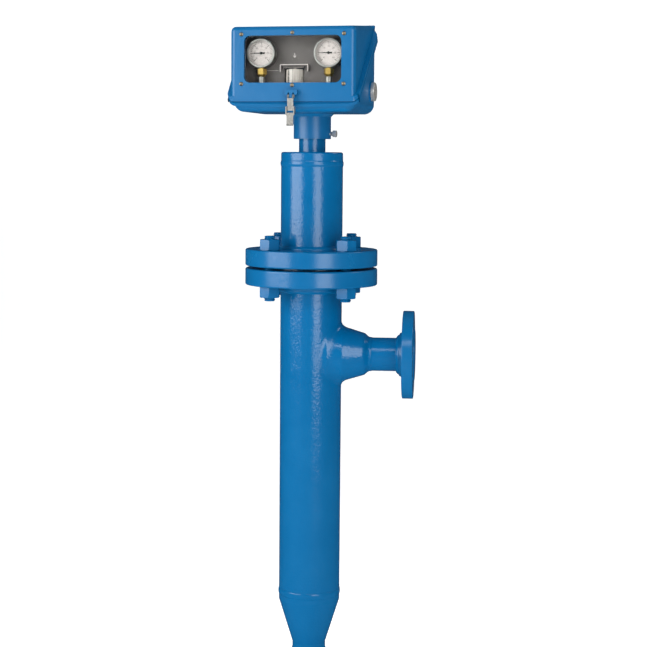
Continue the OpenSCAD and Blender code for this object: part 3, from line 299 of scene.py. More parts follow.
def outward(mesh, merge=0.0):
    """Joins corners within merge of each other and turns every face of the closed mesh outwards."""
    shape = bmesh.new()
    shape.from_mesh(mesh)
    if merge:
        bmesh.ops.remove_doubles(shape, verts=shape.verts, dist=merge)
    bmesh.ops.recalc_face_normals(shape, faces=shape.faces)
    shape.to_mesh(mesh)
    return mesh


def settle(name, mesh, body, replaced=()):
    """Makes the mesh a piece. It rides on its body and stands for the nodes it replaces, which it hides."""
    piece = bpy.data.objects.new(name, mesh)
    bpy.context.scene.collection.objects.link(piece)
    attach(piece, body)
    if replaced:
        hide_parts(*replaced)
    return piece


branch_fillet = round_seam(branch_r_mm + fillet_off_mm, flange_seam_mm, fillet_lean_deg, *fillet_bead_mm)
cage_beads = [
    round_seam(pipe_r_mm + fillet_off_mm, chamber_seam_mm, -fillet_lean_deg, *fillet_bead_mm),
    round_seam(pipe_r_mm + fillet_off_mm, housing_seam_mm, fillet_lean_deg, *fillet_bead_mm),
    round_seam(pipe_r_mm, reducer_seam_mm, 0, *pipe_bead_mm),
    round_seam(branch_r_mm, foot_seam_mm, 0, *branch_bead_mm),
    branch_fillet,
    onto_side(branch_fillet),
    onto_side(round_seam(branch_r_mm, boss_seam_mm, 0, *branch_bead_mm)),
]
beads = smooth_mesh("weld_beads", *joined([shell(grid, ring=True) for grid in cage_beads]), pipe_enamel,
                    edge_deg=60)
settle("weld_beads", outward(beads), "cage")

# Branch boss. A forging that widens from the side pipe to the chamber. Its saddle weld is filled and
# ground, so under the enamel the boss runs into the chamber wall in one hollow sweep.
boss_nose_mm, boss_taper_mm, boss_grow_mm, bore_mm, blend_mm = 85.5, 37.5, 15.0, 20.45, 10.0
# The forging's outside: share of its growth in radius, and share of its taper, from the nose inwards.
boss_shape = np.array([[0.033, 0], [0.2, 0.093], [0.413, 0.187], [0.68, 0.547], [0.867, 0.787], [1, 1]])
# Rays start in the core and meet the surface between these reaches. Near the core the boss fades away.
boss_core_mm, nearest_mm, farthest_mm, halvings = 20.0, 12.0, 80.0, 24
fade_mm, fade_slope = 6.0, 0.7
# The sweep ends this far off the boss axis above and below, and this much further at the sides. Its last
# tenth dips under the chamber's skin, where the real metal is one with it.
foot_lean_deg, foot_more_deg, dip_from, dip_mm, bore_foot_mm = 66, 41, 0.9, 1.2, 3.0


def boss_surface(level_mm, lean, turn):
    """Where a ray from the core, leaning off the boss axis by lean and turned about it by turn, meets a
    level of the smooth union of chamber and boss. The union is min(a, b) - blend h (1 - h), with h the
    clipped share 0.5 + (b - a) / (2 blend). Halving the ray's stretch finds the place."""
    near, far = np.full(lean.shape, nearest_mm), np.full(lean.shape, farthest_mm)
    for _ in range(halvings):
        reach = (near + far) / 2
        x, off = boss_core_mm + reach * np.cos(lean), reach * np.sin(lean)
        chamber = np.hypot(x, off * np.sin(turn)) - pipe_r_mm
        outside = np.interp(-x, -boss_nose_mm + boss_shape[:, 1] * boss_taper_mm,
                            branch_r_mm + boss_shape[:, 0] * boss_grow_mm)
        boss = off - outside + fade_slope * np.maximum(0, boss_core_mm + fade_mm - x)
        share = np.clip(0.5 + (boss - chamber) / (2 * blend_mm), 0, 1)
        union = boss + (chamber - boss) * share - blend_mm * share * (1 - share)
        beyond = union > level_mm
        near, far = np.where(beyond, near, reach), np.where(beyond, reach, far)
    return np.stack([x, off * np.sin(turn), off * np.cos(turn)], -1)


boss_turn = np.linspace(0, 2 * np.pi, 144, endpoint=False)[None]
nose_lean = math.atan2(branch_r_mm + boss_shape[0, 0] * boss_grow_mm, boss_nose_mm - boss_core_mm)
foot_lean = np.radians(foot_lean_deg + foot_more_deg * np.sin(boss_turn) ** 2)
sweep_share = np.linspace(0, 1, 48)[:, None]
boss_lean = nose_lean + sweep_share * (foot_lean - nose_lean)
boss_level = -dip_mm * np.maximum(0, sweep_share - dip_from) / (1 - dip_from) + 0 * boss_lean
boss_outside = boss_surface(boss_level, boss_lean, boss_turn + 0 * boss_lean)
bore_y, bore_z = bore_mm * np.sin(boss_turn), bore_mm * np.cos(boss_turn)
bore_foot = np.sqrt((pipe_r_mm - bore_foot_mm) ** 2 - bore_y ** 2)
bore_rows = np.concatenate([bore_foot, np.full_like(bore_foot, boss_nose_mm)])
boss_bore = np.stack([bore_rows, bore_y + 0 * bore_rows, bore_z + 0 * bore_rows], -1)
boss_grid = (np.concatenate([boss_outside, boss_bore]) + [0, 0, side_z_mm]) * mm
forged_boss = outward(smooth_mesh("forged_boss", *shell(boss_grid, ring=True), pipe_enamel, edge_deg=50))
settle("forged_boss", forged_boss, "cage", ["side_boss"])

# Body and connection flanges. Forged carbon steel, turned all over and drilled. The enamel lies thicker on
# them and softens their edges, and shines a little less than on the pipe.
forged_enamel = sprayed_enamel("blue_enamel_on_forging", peel_mm=2.6, peel_depth_mm=0.1, wave_mm=12.0,
                               wave_depth_mm=0.15, roughness=0.24)
dress(forged_enamel, "chamber_flange", "head_flange", "side_flange", "bottom_flange")

# Gasket between the body flanges: compressed fibre sheet, cut to a ring and clamped by the studs. It is
# grey-green and dull, with short fibres of 1 mm showing.
fibre_mm, fibre_depth_mm = 1.0, 0.05
gasket_sheet, tree, spot = new_material("compressed_fibre_sheet")
fibres = add_node(tree, "ShaderNodeTexNoise", {"Scale": 1 / (fibre_mm * mm), "Detail": 4.0},
                  {"Vector": spot})
fibre_tone = add_node(tree, "ShaderNodeMix",
                      {"data_type": "RGBA", 6: linear("#2d3436"), 7: linear("#454d4d")},
                      {"Factor": fibres.outputs["Fac"]})
fibre_bump = add_node(tree, "ShaderNodeBump", {"Distance": fibre_depth_mm * mm},
                      {"Height": fibres.outputs["Fac"]})
pressed = add_node(tree, "ShaderNodeBsdfPrincipled", {"Roughness": 0.85},
                   {"Base Color": fibre_tone.outputs[2], "Normal": fibre_bump.outputs["Normal"]})
add_node(tree, "ShaderNodeOutputMaterial", {}, {"Surface": pressed.outputs["BSDF"]})
dress(gasket_sheet, "flange_gasket")

# Studs and heavy hexagon nuts. Four 5/8 inch studs, threaded 11 to the inch from end to end, hold the body
# flanges together. They were sprayed after tightening, so they are as blue as the flanges.
stud_pitch_mm, stud_r_mm, stud_low_mm, stud_high_mm = 25.4 / 11, 7.95, 579.5, 671.9
bolt_circle_mm, nut_flats_mm, nut_thick_mm, upper_nut_mm, lower_nut_mm = 152.4, 27.0, 15.5, 651.4, 584.5
# Shares of the pitch: depth of the thread, and how far under its crest the end's chamfer starts.
thread_depth, chamfer_start, thread_rounding = 0.55, 0.62, 1.4
countersink_mm, cone_rise_mm, cone_inset_mm, face_inset_mm = 0.8, 1.3, 0.25, 1.4
bolt_turns = np.radians([45, 135, 225, 315])
nut_turns = np.radians([35, 39, 32, 41])


def threaded_rod(radius_mm, pitch_mm, low_mm, high_mm, steps_per_turn=10, columns=40):
    """A rod along z. Its radius falls from the crest by a rounded V, counted along a helix: height over
    pitch less turn over a full turn. Each end is turned down by a 45 degree chamfer."""
    rows = int((high_mm - low_mm) / pitch_mm * steps_per_turn)
    turn = np.linspace(0, 2 * np.pi, columns, endpoint=False)[None]
    z = np.linspace(low_mm, high_mm, rows)[:, None]
    groove = 0.5 - 0.5 * np.cos(2 * np.pi * (z / pitch_mm - turn / (2 * np.pi)))
    chamfer = radius_mm - chamfer_start * pitch_mm + np.minimum(z - low_mm, high_mm - z)
    radius = np.minimum(radius_mm - thread_depth * pitch_mm * groove ** thread_rounding, chamfer)
    return np.stack([radius * np.cos(turn), radius * np.sin(turn), z + 0 * turn], -1) * mm


rod = threaded_rod(stud_r_mm, stud_pitch_mm, stud_low_mm, stud_high_mm)
stud_places = np.stack([np.cos(bolt_turns), np.sin(bolt_turns), 0 * bolt_turns], -1) * bolt_circle_mm / 2 * mm
studs = smooth_mesh("threaded_studs", *joined([shell(rod + place) for place in stud_places]),
                    forged_enamel, edge_deg=60)
settle("threaded_studs", studs, "cage", ["flange_studs"])


def hexagon_nut(turn_by, columns=144):
    """A nut along z from 0. Its outside is the nearer of the hexagon, flats over twice the cosine of the
    turn off the flat, and a cone that widens by two for each one up and takes the corners off at both
    ends. A countersink opens its bore."""
    turn = np.linspace(0, 2 * np.pi, columns, endpoint=False)[None]
    off_flat = (turn - turn_by + np.pi / 6) % (np.pi / 3) - np.pi / 6
    hexagon = nut_flats_mm / 2 / np.cos(off_flat)
    low_end = np.concatenate([[countersink_mm, 0, 0], np.linspace(0, cone_rise_mm, 7)])
    z = np.concatenate([low_end, nut_thick_mm - low_end[::-1]])[:, None]
    cone = nut_flats_mm / 2 - cone_inset_mm + 2 * np.minimum(z, nut_thick_mm - z)
    radius = np.minimum(hexagon, cone)
    radius[[0, -1]] = stud_r_mm
    radius[[1, -2]] = stud_r_mm + countersink_mm
    radius[[2, -3]] = nut_flats_mm / 2 - face_inset_mm
    return np.stack([radius * np.cos(turn), radius * np.sin(turn), z + 0 * turn], -1) * mm


def nut_set(low_mm):
    """The four nuts on their studs, each left at its own turn."""
    return joined([
        shell(hexagon_nut(turn + np.pi / 6) + place + [0, 0, low_mm * mm], ring=True)
        for place, turn in zip(stud_places, nut_turns)
    ])


for name, low_mm, node in [
    ("nuts_above", upper_nut_mm, "upper_nuts"),
    ("nuts_below", lower_nut_mm, "lower_nuts"),
]:
    nuts = smooth_mesh(name, *nut_set(low_mm), forged_enamel, edge_deg=24)
    settle(name, nuts, "cage", [node])

# Moving train, inside the chamber and housing: stainless displacer, stem, spring plate, attraction sleeve
# and seat, and the wound steel spring that carries them.


def worked_finish(name, darker, lighter, metallic, roughness, mottle_mm, grain_mm, depth_mm,
                  stretch=(1, 1, 1)):
    """An unpainted surface. Noise of mottle_mm moves its colour from darker to lighter. Noise of grain_mm,
    drawn out along each axis by stretch, moves its roughness by a quarter and is its relief."""
    material, tree, spot = new_material(name)
    mottle = add_node(tree, "ShaderNodeTexNoise", {"Scale": 1 / (mottle_mm * mm), "Detail": 4.0},
                      {"Vector": spot})
    tone = add_node(tree, "ShaderNodeMix", {"data_type": "RGBA", 6: linear(darker), 7: linear(lighter)},
                    {"Factor": mottle.outputs["Fac"]})
    drawn = add_node(tree, "ShaderNodeMapping", {"Scale": [1 / s for s in stretch]}, {"Vector": spot})
    grain = add_node(tree, "ShaderNodeTexNoise", {"Scale": 1 / (grain_mm * mm), "Detail": 3.0},
                     {"Vector": drawn.outputs["Vector"]})
    rough = add_node(tree, "ShaderNodeMapRange", {"To Min": roughness * 0.75, "To Max": roughness * 1.25},
                     {"Value": grain.outputs["Fac"]})
    relief = add_node(tree, "ShaderNodeBump", {"Distance": depth_mm * mm}, {"Height": grain.outputs["Fac"]})
    surface = add_node(tree, "ShaderNodeBsdfPrincipled", {"Metallic": metallic}, {
        "Base Color": tone.outputs[2], "Roughness": rough.outputs["Result"],
        "Normal": relief.outputs["Normal"],
    })
    add_node(tree, "ShaderNodeOutputMaterial", {}, {"Surface": surface.outputs["BSDF"]})
    return material


# Turned stainless steel: bright and neutral, its tool marks running round as fine level lines.
turned_stainless = worked_finish("turned_stainless_steel", "#a9a7a2", "#c4c2bd", metallic=1.0,
                                 roughness=0.26, mottle_mm=20, grain_mm=0.35, depth_mm=0.006,
                                 stretch=(8, 8, 1))
dress(turned_stainless, "displacer", "stem", "spring_plate", "spring_seat", "attraction_sleeve")
# Oil-tempered spring wire: dark blue-grey scale under a film of oil.
oiled_wire = worked_finish("oiled_spring_wire", "#4d5054", "#6b6e72", metallic=1.0, roughness=0.34,
                           mottle_mm=9, grain_mm=0.6, depth_mm=0.01)
dress(oiled_wire, "range_spring")

# Head casting: base with its hub, and cover, sand-cast in aluminium and sprayed with the same enamel. The
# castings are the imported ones, but their rims are drawn in: they stand out less at the front corners than
# at the back, end flush with the front face, and stop short of the top.
cast_enamel = sprayed_enamel("blue_enamel_on_casting", peel_mm=2.2, peel_depth_mm=0.09, wave_mm=9.0,
                             wave_depth_mm=0.12, roughness=0.32)
# The cord between the rims was sprayed over with the head, so blue mist lies on its black edge.
misted_rubber = worked_finish("rubber_under_blue_mist", "#0a3a62", "#10507f", metallic=0.0, roughness=0.6,
                              mottle_mm=4, grain_mm=0.8, depth_mm=0.02)
# The head's own frame is turned clockwise about the column. The parting plane leaves the front face
# 12.5 mm up and climbs to the back. Half-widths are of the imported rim, the drawn-in one and the walls.
head_turn, head_foot = math.radians(-8), 0.8439
front_reach_mm, split_front_mm, split_tilt = 120.0, 12.5, math.atan2(112.5, 126)
split_len_mm, rim_half_mm, front_rim_half_mm, wall_half_mm, draft_mm = 168.9, 97.5, 92.5, 87.8, 3.2
# The rim lies within this reach of the plane. Its front corners swell from a rounding of 11 mm to one of
# 16 mm, about a centre that moves in with the side and climbs.
rim_reach_mm, corner_side_mm, corner_along_mm, corner_slack_mm = 7.0, 86.5, 7.0, 0.1
corner_swell_mm, corner_climb_mm = 5.0, 7.0
# Share of the plane past which the rim's upper end sinks, and the line under the cover's top that ends it.
rim_end_share, top_slope, rim_top_mm = 0.85, 10 / 126, 102.2
casting_sharp_deg, casting_bevel_deg = 32, 40


def in_head(x_mm, y_mm, z_mm):
    """Points of the head's own frame, in mm, carried to the shared frame: turned about the column and
    lifted."""
    x, y, z = np.broadcast_arrays(np.asarray(x_mm, float), y_mm, z_mm)
    c, s = math.cos(head_turn), math.sin(head_turn)
    return np.stack([(c * x - s * y) * mm, (s * x + c * y) * mm, z * mm + head_foot], -1)


def drawn_in(points, inset_mm, drop_mm, flush):
    """Points of a rimmed casting with its rim reshaped. along is the way up the sloping parting plane and
    off the height over it. Beyond the casting's wall, the half-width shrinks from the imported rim's to one
    that grows evenly with along. The rim's upper end sinks by drop_mm. With flush, nothing of the rim
    stays in front of the face."""
    c, s = math.cos(head_turn), math.sin(head_turn)
    x = (c * points[:, 0] + s * points[:, 1]) / mm
    y = (c * points[:, 1] - s * points[:, 0]) / mm + front_reach_mm
    z = (points[:, 2] - head_foot) / mm - split_front_mm
    run, rise = math.cos(split_tilt), math.sin(split_tilt)
    along, off = y * run + z * rise, z * run - y * rise
    climb = np.clip(along / split_len_mm, 0, 1)
    side, near_rim = np.abs(x), np.abs(off) < rim_reach_mm
    corner = near_rim & (along < corner_along_mm) & (side > corner_side_mm - corner_slack_mm)
    round_mm = np.hypot(side - corner_side_mm, along - corner_along_mm) + corner_swell_mm
    bearing = np.arctan2(corner_along_mm - along, side - corner_side_mm)
    centre_side_mm = corner_side_mm + front_rim_half_mm - rim_half_mm - corner_swell_mm
    centre_along_mm = corner_along_mm + corner_climb_mm
    side = np.where(corner, centre_side_mm + round_mm * np.cos(bearing), side)
    along = np.where(corner, centre_along_mm - round_mm * np.sin(bearing), along)
    wall = wall_half_mm + draft_mm * climb
    half = front_rim_half_mm + (rim_half_mm - front_rim_half_mm) * climb - inset_mm
    on_rim = near_rim & (side > wall) & ~corner
    side = np.where(on_rim, wall + (side - wall) * (half - wall) / (rim_half_mm - inset_mm - wall), side)
    along = np.where(on_rim & (along > rim_end_share * split_len_mm), along - drop_mm, along)
    if flush:
        along = np.where(near_rim & (off > 0), np.maximum(along, off * rise / run), along)
        highest = (rim_top_mm - off * (run + top_slope * rise)) / (rise - top_slope * run)
        along = np.where(near_rim, np.minimum(along, highest), along)
    y = along * run - off * rise - front_reach_mm
    z = along * rise + off * run + split_front_mm
    return in_head(np.sign(x) * side, y, z)


# Each casting: new piece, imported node, body, slot, finish, inset and drop of its rim, flush or not, and
# the width of its softened edges.
for name, node, body, slot, finish, inset_mm, drop_mm, flush, edge_mm in [
    ("cast_base", "head_base", "head", "blue_paint", cast_enamel, 0.0, 10.0, False, 0.8),
    ("cast_cover", "head_cover", "cover", "blue_paint", cast_enamel, 0.0, 19.0, True, 0.8),
    ("rubber_rim_cord", "cover_gasket", "head", "rubber", misted_rubber, 2.0, 10.0, False, 0.0),
]:
    casting = outward(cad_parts[node].data.copy(), merge=1e-6)
    corners = np.empty(3 * len(casting.vertices), dtype=np.float32)
    casting.vertices.foreach_get("co", corners)
    moved = drawn_in(corners.reshape(-1, 3).astype(float), inset_mm, drop_mm, flush)
    casting.vertices.foreach_set("co", moved.astype(np.float32).ravel())
    casting.shade_smooth()
    casting.set_sharp_from_angle(angle=math.radians(casting_sharp_deg))
    casting.materials.clear()
    casting.materials.append(finish)
    piece = settle(name, casting, body, [node])
    if edge_mm:
        soften = piece.modifiers.new("softened_edges", "BEVEL")
        soften.width, soften.segments, soften.limit_method = edge_mm * mm, 2, "ANGLE"
        soften.angle_limit, soften.use_clamp_overlap = math.radians(casting_bevel_deg), True
    # Broad faces keep their own direction, and only the narrow ones between them shade round.
    level = piece.modifiers.new("broad_faces_first", "WEIGHTED_NORMAL")
    level.mode, level.weight, level.keep_sharp = "FACE_AREA", 100, True

# Hub screw, hinge pin and ring fittings of the air lines, bought in. Rolled stainless steel with a satin
# skin: fine scratches scatter part of its light, so it stays pale where it mirrors nothing.
satin_stainless = worked_finish("satin_stainless_steel", "#c6c4bf", "#e4e2dd", metallic=0.65,
                                roughness=0.34, mottle_mm=6, grain_mm=0.5, depth_mm=0.006)
dress(satin_stainless, "hub_screw", "hinge_pin", "port_rings")

# Latch. A strap and an over-centre lever pressed from stainless sheet, on riveted pins. The press leaves
# the sheet bright, with rubbed marks where fingers work it.
pressed_stainless = worked_finish("pressed_stainless_sheet", "#8d8b86", "#e0ded8", metallic=0.8,
                                  roughness=0.34, mottle_mm=2.5, grain_mm=0.3, depth_mm=0.012,
                                  stretch=(1, 1, 6))
dress(pressed_stainless, "strap_pin", "lever_pin", "latch_strap", "latch_lever")

# Frame behind the panel: folded sheet, zinc plated, with its screws and the ring that clamps the window
# glass on a rubber gasket. The plating breaks into dull spangles of some 5 mm, and the rubber is matt.
zinc_plate = worked_finish("spangled_zinc_plate", "#a7acb0", "#c5c8ca", metallic=1.0, roughness=0.4,
                           mottle_mm=5, grain_mm=0.5, depth_mm=0.01)
dress(zinc_plate, "window_retainer", "mounting_frame", "frame_screws", "panel_screws")
black_rubber = worked_finish("black_rubber_cord", "#151618", "#222326", metallic=0.0, roughness=0.6,
                             mottle_mm=5, grain_mm=0.8, depth_mm=0.02)
dress(black_rubber, "window_gasket")

# Window screws: six fillister heads round the window, turned from brass and slotted. Long unpolished, so
# they are dull brown with paler high spots.
window_z_mm, front_y_mm = 70.7, -119.966
screw_head_mm, screw_crown_mm, screw_slot_mm, screw_shank_mm, screw_length_mm = 5.4, 1.8, 0.9, 3.0, 10.4
screw_pitch_mm, slot_edge_mm, screw_seat_mm = 0.8, 0.02, 0.2
# Shares of the crown's height: its fall to the rim, and the slot's depth.
crown_fall, slot_depth = 0.55, 0.45
screw_rows = np.array([-1, -0.98, -0.9, -0.75, -0.55, -0.35, -0.2])
screw_places = [(0, 35.1), (0, -35.1), (-71.5, 33.4), (71.5, 33.4), (-71.5, -33.4), (71.5, -33.4)]
screw_turns = np.radians([20, 75, 130, 48, 160, 95])
weathered_brass = worked_finish("weathered_brass", "#7a7062", "#b5a78c", metallic=1.0, roughness=0.45,
                                mottle_mm=1.6, grain_mm=0.5, depth_mm=0.02)


def slotted_screw(place_mm, slot_turn):
    """A screw whose head faces -y. The head's rows run across the slot and its columns round each row: x is
    the row's place, z the chord there, and y the height of a dome, less the slot's depth between its two
    walls."""
    r, wall = screw_head_mm / 2, screw_slot_mm / 2
    outer = screw_rows * r
    middle = [-wall - slot_edge_mm, -wall, 0, wall, wall + slot_edge_mm]
    lines = np.concatenate([outer, middle, -outer[::-1]])
    chord = np.sqrt(np.maximum(r * r - lines ** 2, 1e-6))
    z = chord[:, None] * np.linspace(-1, 1, 17)[None]
    dome = screw_crown_mm * (1 - crown_fall * (lines[:, None] ** 2 + z ** 2) / r ** 2)
    dome = np.where(np.abs(lines)[:, None] <= wall, dome - slot_depth * screw_crown_mm, dome)
    dome[0], dome[-1] = 0, 0
    top = np.stack([lines[:, None] + 0 * z, dome, z], -1)
    low = top[:, ::-1].copy()
    low[..., 1] = -screw_seat_mm
    head = np.concatenate([top, low], 1)
    c, s = math.cos(slot_turn), math.sin(slot_turn)
    head = np.stack([c * head[..., 0] - s * head[..., 2], -head[..., 1],
                     s * head[..., 0] + c * head[..., 2]], -1)
    rod = threaded_rod(screw_shank_mm / 2, screw_pitch_mm, 0, screw_length_mm, 6, 16) / mm
    rod = np.stack([rod[..., 0], rod[..., 2], -rod[..., 1]], -1)
    parts = []
    for grid in (head, rod):
        vertices, faces = shell(grid)
        vertices = vertices + np.array(place_mm)
        parts.append((in_head(vertices[:, 0], vertices[:, 1], vertices[:, 2]), faces))
    return joined(parts)


screws = smooth_mesh("slotted_window_screws", *joined([
    slotted_screw((x, front_y_mm, window_z_mm + z), turn)
    for (x, z), turn in zip(screw_places, screw_turns)
]), weathered_brass, edge_deg=30)
settle("slotted_window_screws", outward(screws, merge=1e-7), "cover", ["window_screws"])

# Window and gauge glass. Clear float glass: it hardly dims what is behind it, and mirrors the soft boxes.
# Rays on their way to a lamp pass it, or the panel behind would stay black.
smear_mm, smear_roughness = 30.0, 0.05
clear_glass, tree, spot = new_material("clear_float_glass")
smear = add_node(tree, "ShaderNodeTexNoise", {"Scale": 1 / (smear_mm * mm), "Detail": 3.0},
                 {"Vector": spot})
smear_gloss = add_node(tree, "ShaderNodeMapRange", {"To Min": 0.0, "To Max": smear_roughness},
                       {"Value": smear.outputs["Fac"]})
pane = add_node(tree, "ShaderNodeBsdfPrincipled", {
    "Base Color": linear("#f6faf9"), "IOR": 1.45, "Transmission Weight": 1.0,
}, {"Roughness": smear_gloss.outputs["Result"]})
shade = add_node(tree, "ShaderNodeBsdfTransparent")
ray = add_node(tree, "ShaderNodeLightPath")
passed = add_node(tree, "ShaderNodeMixShader", {},
                  {0: ray.outputs["Is Shadow Ray"], 1: pane.outputs["BSDF"], 2: shade.outputs["BSDF"]})
add_node(tree, "ShaderNodeOutputMaterial", {}, {"Surface": passed.outputs["Shader"]})
dress(clear_glass, "window_glass", "supply_gauge_lens", "output_gauge_lens")

# Pressure gauges: steel case and bezel, brass socket, paper-faced dial and a lacquered needle, screwed into
# couplings on the manifold. The nozzle and bellows of the relay are of the same brass.
gauge_places_mm, dial_z_mm, dial_face_mm = (-47.25, 47.25), 79.6, -103.59
# Brushed steel: fine scratches blur what it mirrors.
gauge_steel = worked_finish("brushed_gauge_case", "#8f8d8a", "#aeaca8", metallic=1.0, roughness=0.4,
                            mottle_mm=5, grain_mm=0.4, depth_mm=0.006)
dress(gauge_steel, "supply_gauge_case", "output_gauge_case")
# Turned brass, kept clean by the closed case: warm and fairly bright.
turned_brass = worked_finish("turned_brass", "#b8954a", "#d8b86c", metallic=1.0, roughness=0.36,
                             mottle_mm=4, grain_mm=0.5, depth_mm=0.01)
dress(turned_brass, "supply_gauge_socket", "output_gauge_socket", "nozzle_jet", "feedback_bellows")
# Printed paper: matt, and aged to a warm grey.
dial_paper = worked_finish("printed_dial", "#cdbcb9", "#dccdca", metallic=0.0, roughness=0.5, mottle_mm=9,
                           grain_mm=1.0, depth_mm=0.002)
dress(dial_paper, "supply_gauge_dial", "output_gauge_dial")
# Black lacquer: smooth and half bright.
needle_lacquer = worked_finish("black_needle_lacquer", "#141414", "#1c1c1c", metallic=0.0, roughness=0.4,
                               mottle_mm=3, grain_mm=0.5, depth_mm=0.002)
dress(needle_lacquer, "supply_gauge_pointer", "output_gauge_pointer")

# Dial prints, in black ink on each dial. A scale of 30 parts runs clockwise over 270 degrees, with a longer
# mark and a figure at every fifth.
ink_mm, scale_parts, scale_deg, zero_deg, long_every = 0.05, 30, 270, 225, 5
# Where a mark ends, where a long and a short one begin, and where a figure stands, from the dial's middle.
mark_end_mm, long_start_mm, short_start_mm, figure_at_mm = 15.6, 11.8, 13.4, 9.2
long_width_mm, short_width_mm, dial_figure_mm = 0.7, 0.4, 3.4


def stroke(start, end, width_mm, face_mm):
    """A printed stroke in the head's frame from start to end, each (x, z) in mm: a flat bar half sunk in
    its face."""
    start, end = np.array(start, float), np.array(end, float)
    way = (end - start) / np.linalg.norm(end - start)
    across = np.array([-way[1], way[0]]) * width_mm / 2
    flat = np.array([[start - across, start + across], [end - across, end + across]])
    low, high = face_mm - ink_mm, face_mm + ink_mm
    corners = [(low, 0), (low, 1), (high, 1), (high, 0)]
    grid = np.array([[(row[side][0], y, row[side][1]) for y, side in corners] for row in flat])
    return in_head(grid[..., 0], grid[..., 1], grid[..., 2])


def figures(words, size_mm):
    """Plain figures as a closed flat solid, in mm: x to the right, y up, z towards the reader."""
    text = bpy.data.curves.new("figures", "FONT")
    text.body, text.size, text.extrude, text.resolution_u = words, size_mm, ink_mm, 3
    text.align_x, text.align_y = "CENTER", "CENTER"
    holder = bpy.data.objects.new("figures", text)
    shape = bmesh.new()
    shape.from_mesh(bpy.data.meshes.new_from_object(holder))
    bmesh.ops.remove_doubles(shape, verts=shape.verts, dist=1e-5)
    shape.verts.index_update()
    points = np.array([vertex.co for vertex in shape.verts])
    faces = [[vertex.index for vertex in face.verts] for face in shape.faces]
    bpy.data.objects.remove(holder)
    return points, faces


dial_parts = []
for x_mm in gauge_places_mm:
    centre = np.array([x_mm, dial_z_mm])
    for mark in range(scale_parts + 1):
        turn = math.radians(zero_deg - scale_deg / scale_parts * mark)
        ray_out = np.array([math.cos(turn), math.sin(turn)])
        is_long = mark % long_every == 0
        start_mm, width_mm = (long_start_mm, long_width_mm) if is_long else (short_start_mm, short_width_mm)
        dial_parts.append(shell(stroke(centre + start_mm * ray_out, centre + mark_end_mm * ray_out,
                                       width_mm, dial_face_mm)))
        if is_long:
            points, faces = figures(str(mark), dial_figure_mm)
            place = centre + figure_at_mm * ray_out
            dial_parts.append((in_head(
                place[0] + points[:, 0], dial_face_mm - points[:, 2], place[1] + points[:, 1],
            ), faces))
prints = outward(smooth_mesh("dial_prints", *joined(dial_parts), needle_lacquer, edge_deg=20))
settle("dial_prints", prints, "head")

# Instrument panel: folded sheet in dark grey baked paint, with the bracket over the set point wheel.
# A pale line along the bracket's edge is a painted highlight, and an arrow and an index line are printed in
# grey.
panel_paint = worked_finish("dark_grey_panel_paint", "#4f4947", "#5f5856", metallic=0.0, roughness=0.5,
                            mottle_mm=18, grain_mm=0.6, depth_mm=0.01)
dress(panel_paint, "instrument_panel")
# Painted highlight for the bracket's bright edge: a pale, half metallic grey laid over the paint.
bracket_highlight_paint = worked_finish("bracket_edge_painted_highlight", "#a59c98", "#cfc6c2", metallic=0.6, roughness=0.45,
                          mottle_mm=1.5, grain_mm=0.4, depth_mm=0.02)
bracket_x_mm, bracket_half_mm, bracket_top_mm, bracket_leg_mm = -2.8, 20.0, 65.0, 55.0
bracket_face_mm, highlight_width_mm, highlight_inset_mm = -97.99, 1.1, 0.6
left_mm = bracket_x_mm - bracket_half_mm + highlight_inset_mm
right_mm = bracket_x_mm + bracket_half_mm - highlight_inset_mm
top_mm = bracket_top_mm - highlight_inset_mm
# Pale strokes along the bracket's top and both legs: a painted highlight of its edge.
highlight_parts = [
    shell(stroke(start, end, highlight_width_mm, bracket_face_mm)) for start, end in [
        ((left_mm, top_mm), (right_mm, top_mm)),
        ((left_mm, top_mm), (left_mm, bracket_leg_mm)),
        ((right_mm, top_mm), (right_mm, bracket_leg_mm)),
    ]
]
painted_highlight_line = outward(smooth_mesh("bracket_edge_highlight_line", *joined(highlight_parts), bracket_highlight_paint, edge_deg=20))
settle("bracket_edge_highlight_line", painted_highlight_line, "head")

# Grey screen ink: flat and matt. The arrow's strokes are given about its middle, with their widths.
grey_ink = worked_finish("grey_panel_ink", "#b3aaa6", "#c6bdb9", metallic=0.0, roughness=0.6, mottle_mm=2,
                         grain_mm=0.4, depth_mm=0.005)
panel_face_mm, arrow_middle_mm = -91.99, np.array([-3.2, 77.3])
arrow_strokes = [((0, 3.0), (0, -2.6), 0.9), ((-1.9, -0.4), (0, -3.0), 0.8), ((1.9, -0.4), (0, -3.0), 0.8)]
index_start_mm, index_end_mm, index_width_mm = (-42.0, 56.6), (-26.0, 56.6), 0.6
arrow_parts = [
    shell(stroke(arrow_middle_mm + start, arrow_middle_mm + end, width_mm, panel_face_mm))
    for start, end, width_mm in arrow_strokes
]
arrow_parts.append(shell(stroke(index_start_mm, index_end_mm, index_width_mm, panel_face_mm)))
arrow = outward(smooth_mesh("panel_arrow", *joined(arrow_parts), grey_ink, edge_deg=20))
settle("panel_arrow", arrow, "head")

# Set point wheel: a drum moulded in pale plastic, half gloss, on an upright pin. 30 ribs give the thumb a
# hold, and the smooth sector between them carries a column of figures.
moulded = worked_finish("moulded_light_plastic", "#b0a7a0", "#c8bfb8", metallic=0.0, roughness=0.42,
                        mottle_mm=6, grain_mm=0.6, depth_mm=0.01)
wheel_x_mm, wheel_y_mm, wheel_low_mm, wheel_high_mm = -3.8, -87.99, 39.5, 58.5
pin_r_mm, pin_out_mm, drum_r_mm, rib_mm, wheel_ribs = 1.9, 3.0, 11.3, 0.7, 30
rib_level, rib_steepness, rib_run_out = 0.2, 1.6, 0.05
smooth_turn, smooth_half = math.radians(227), math.radians(33)
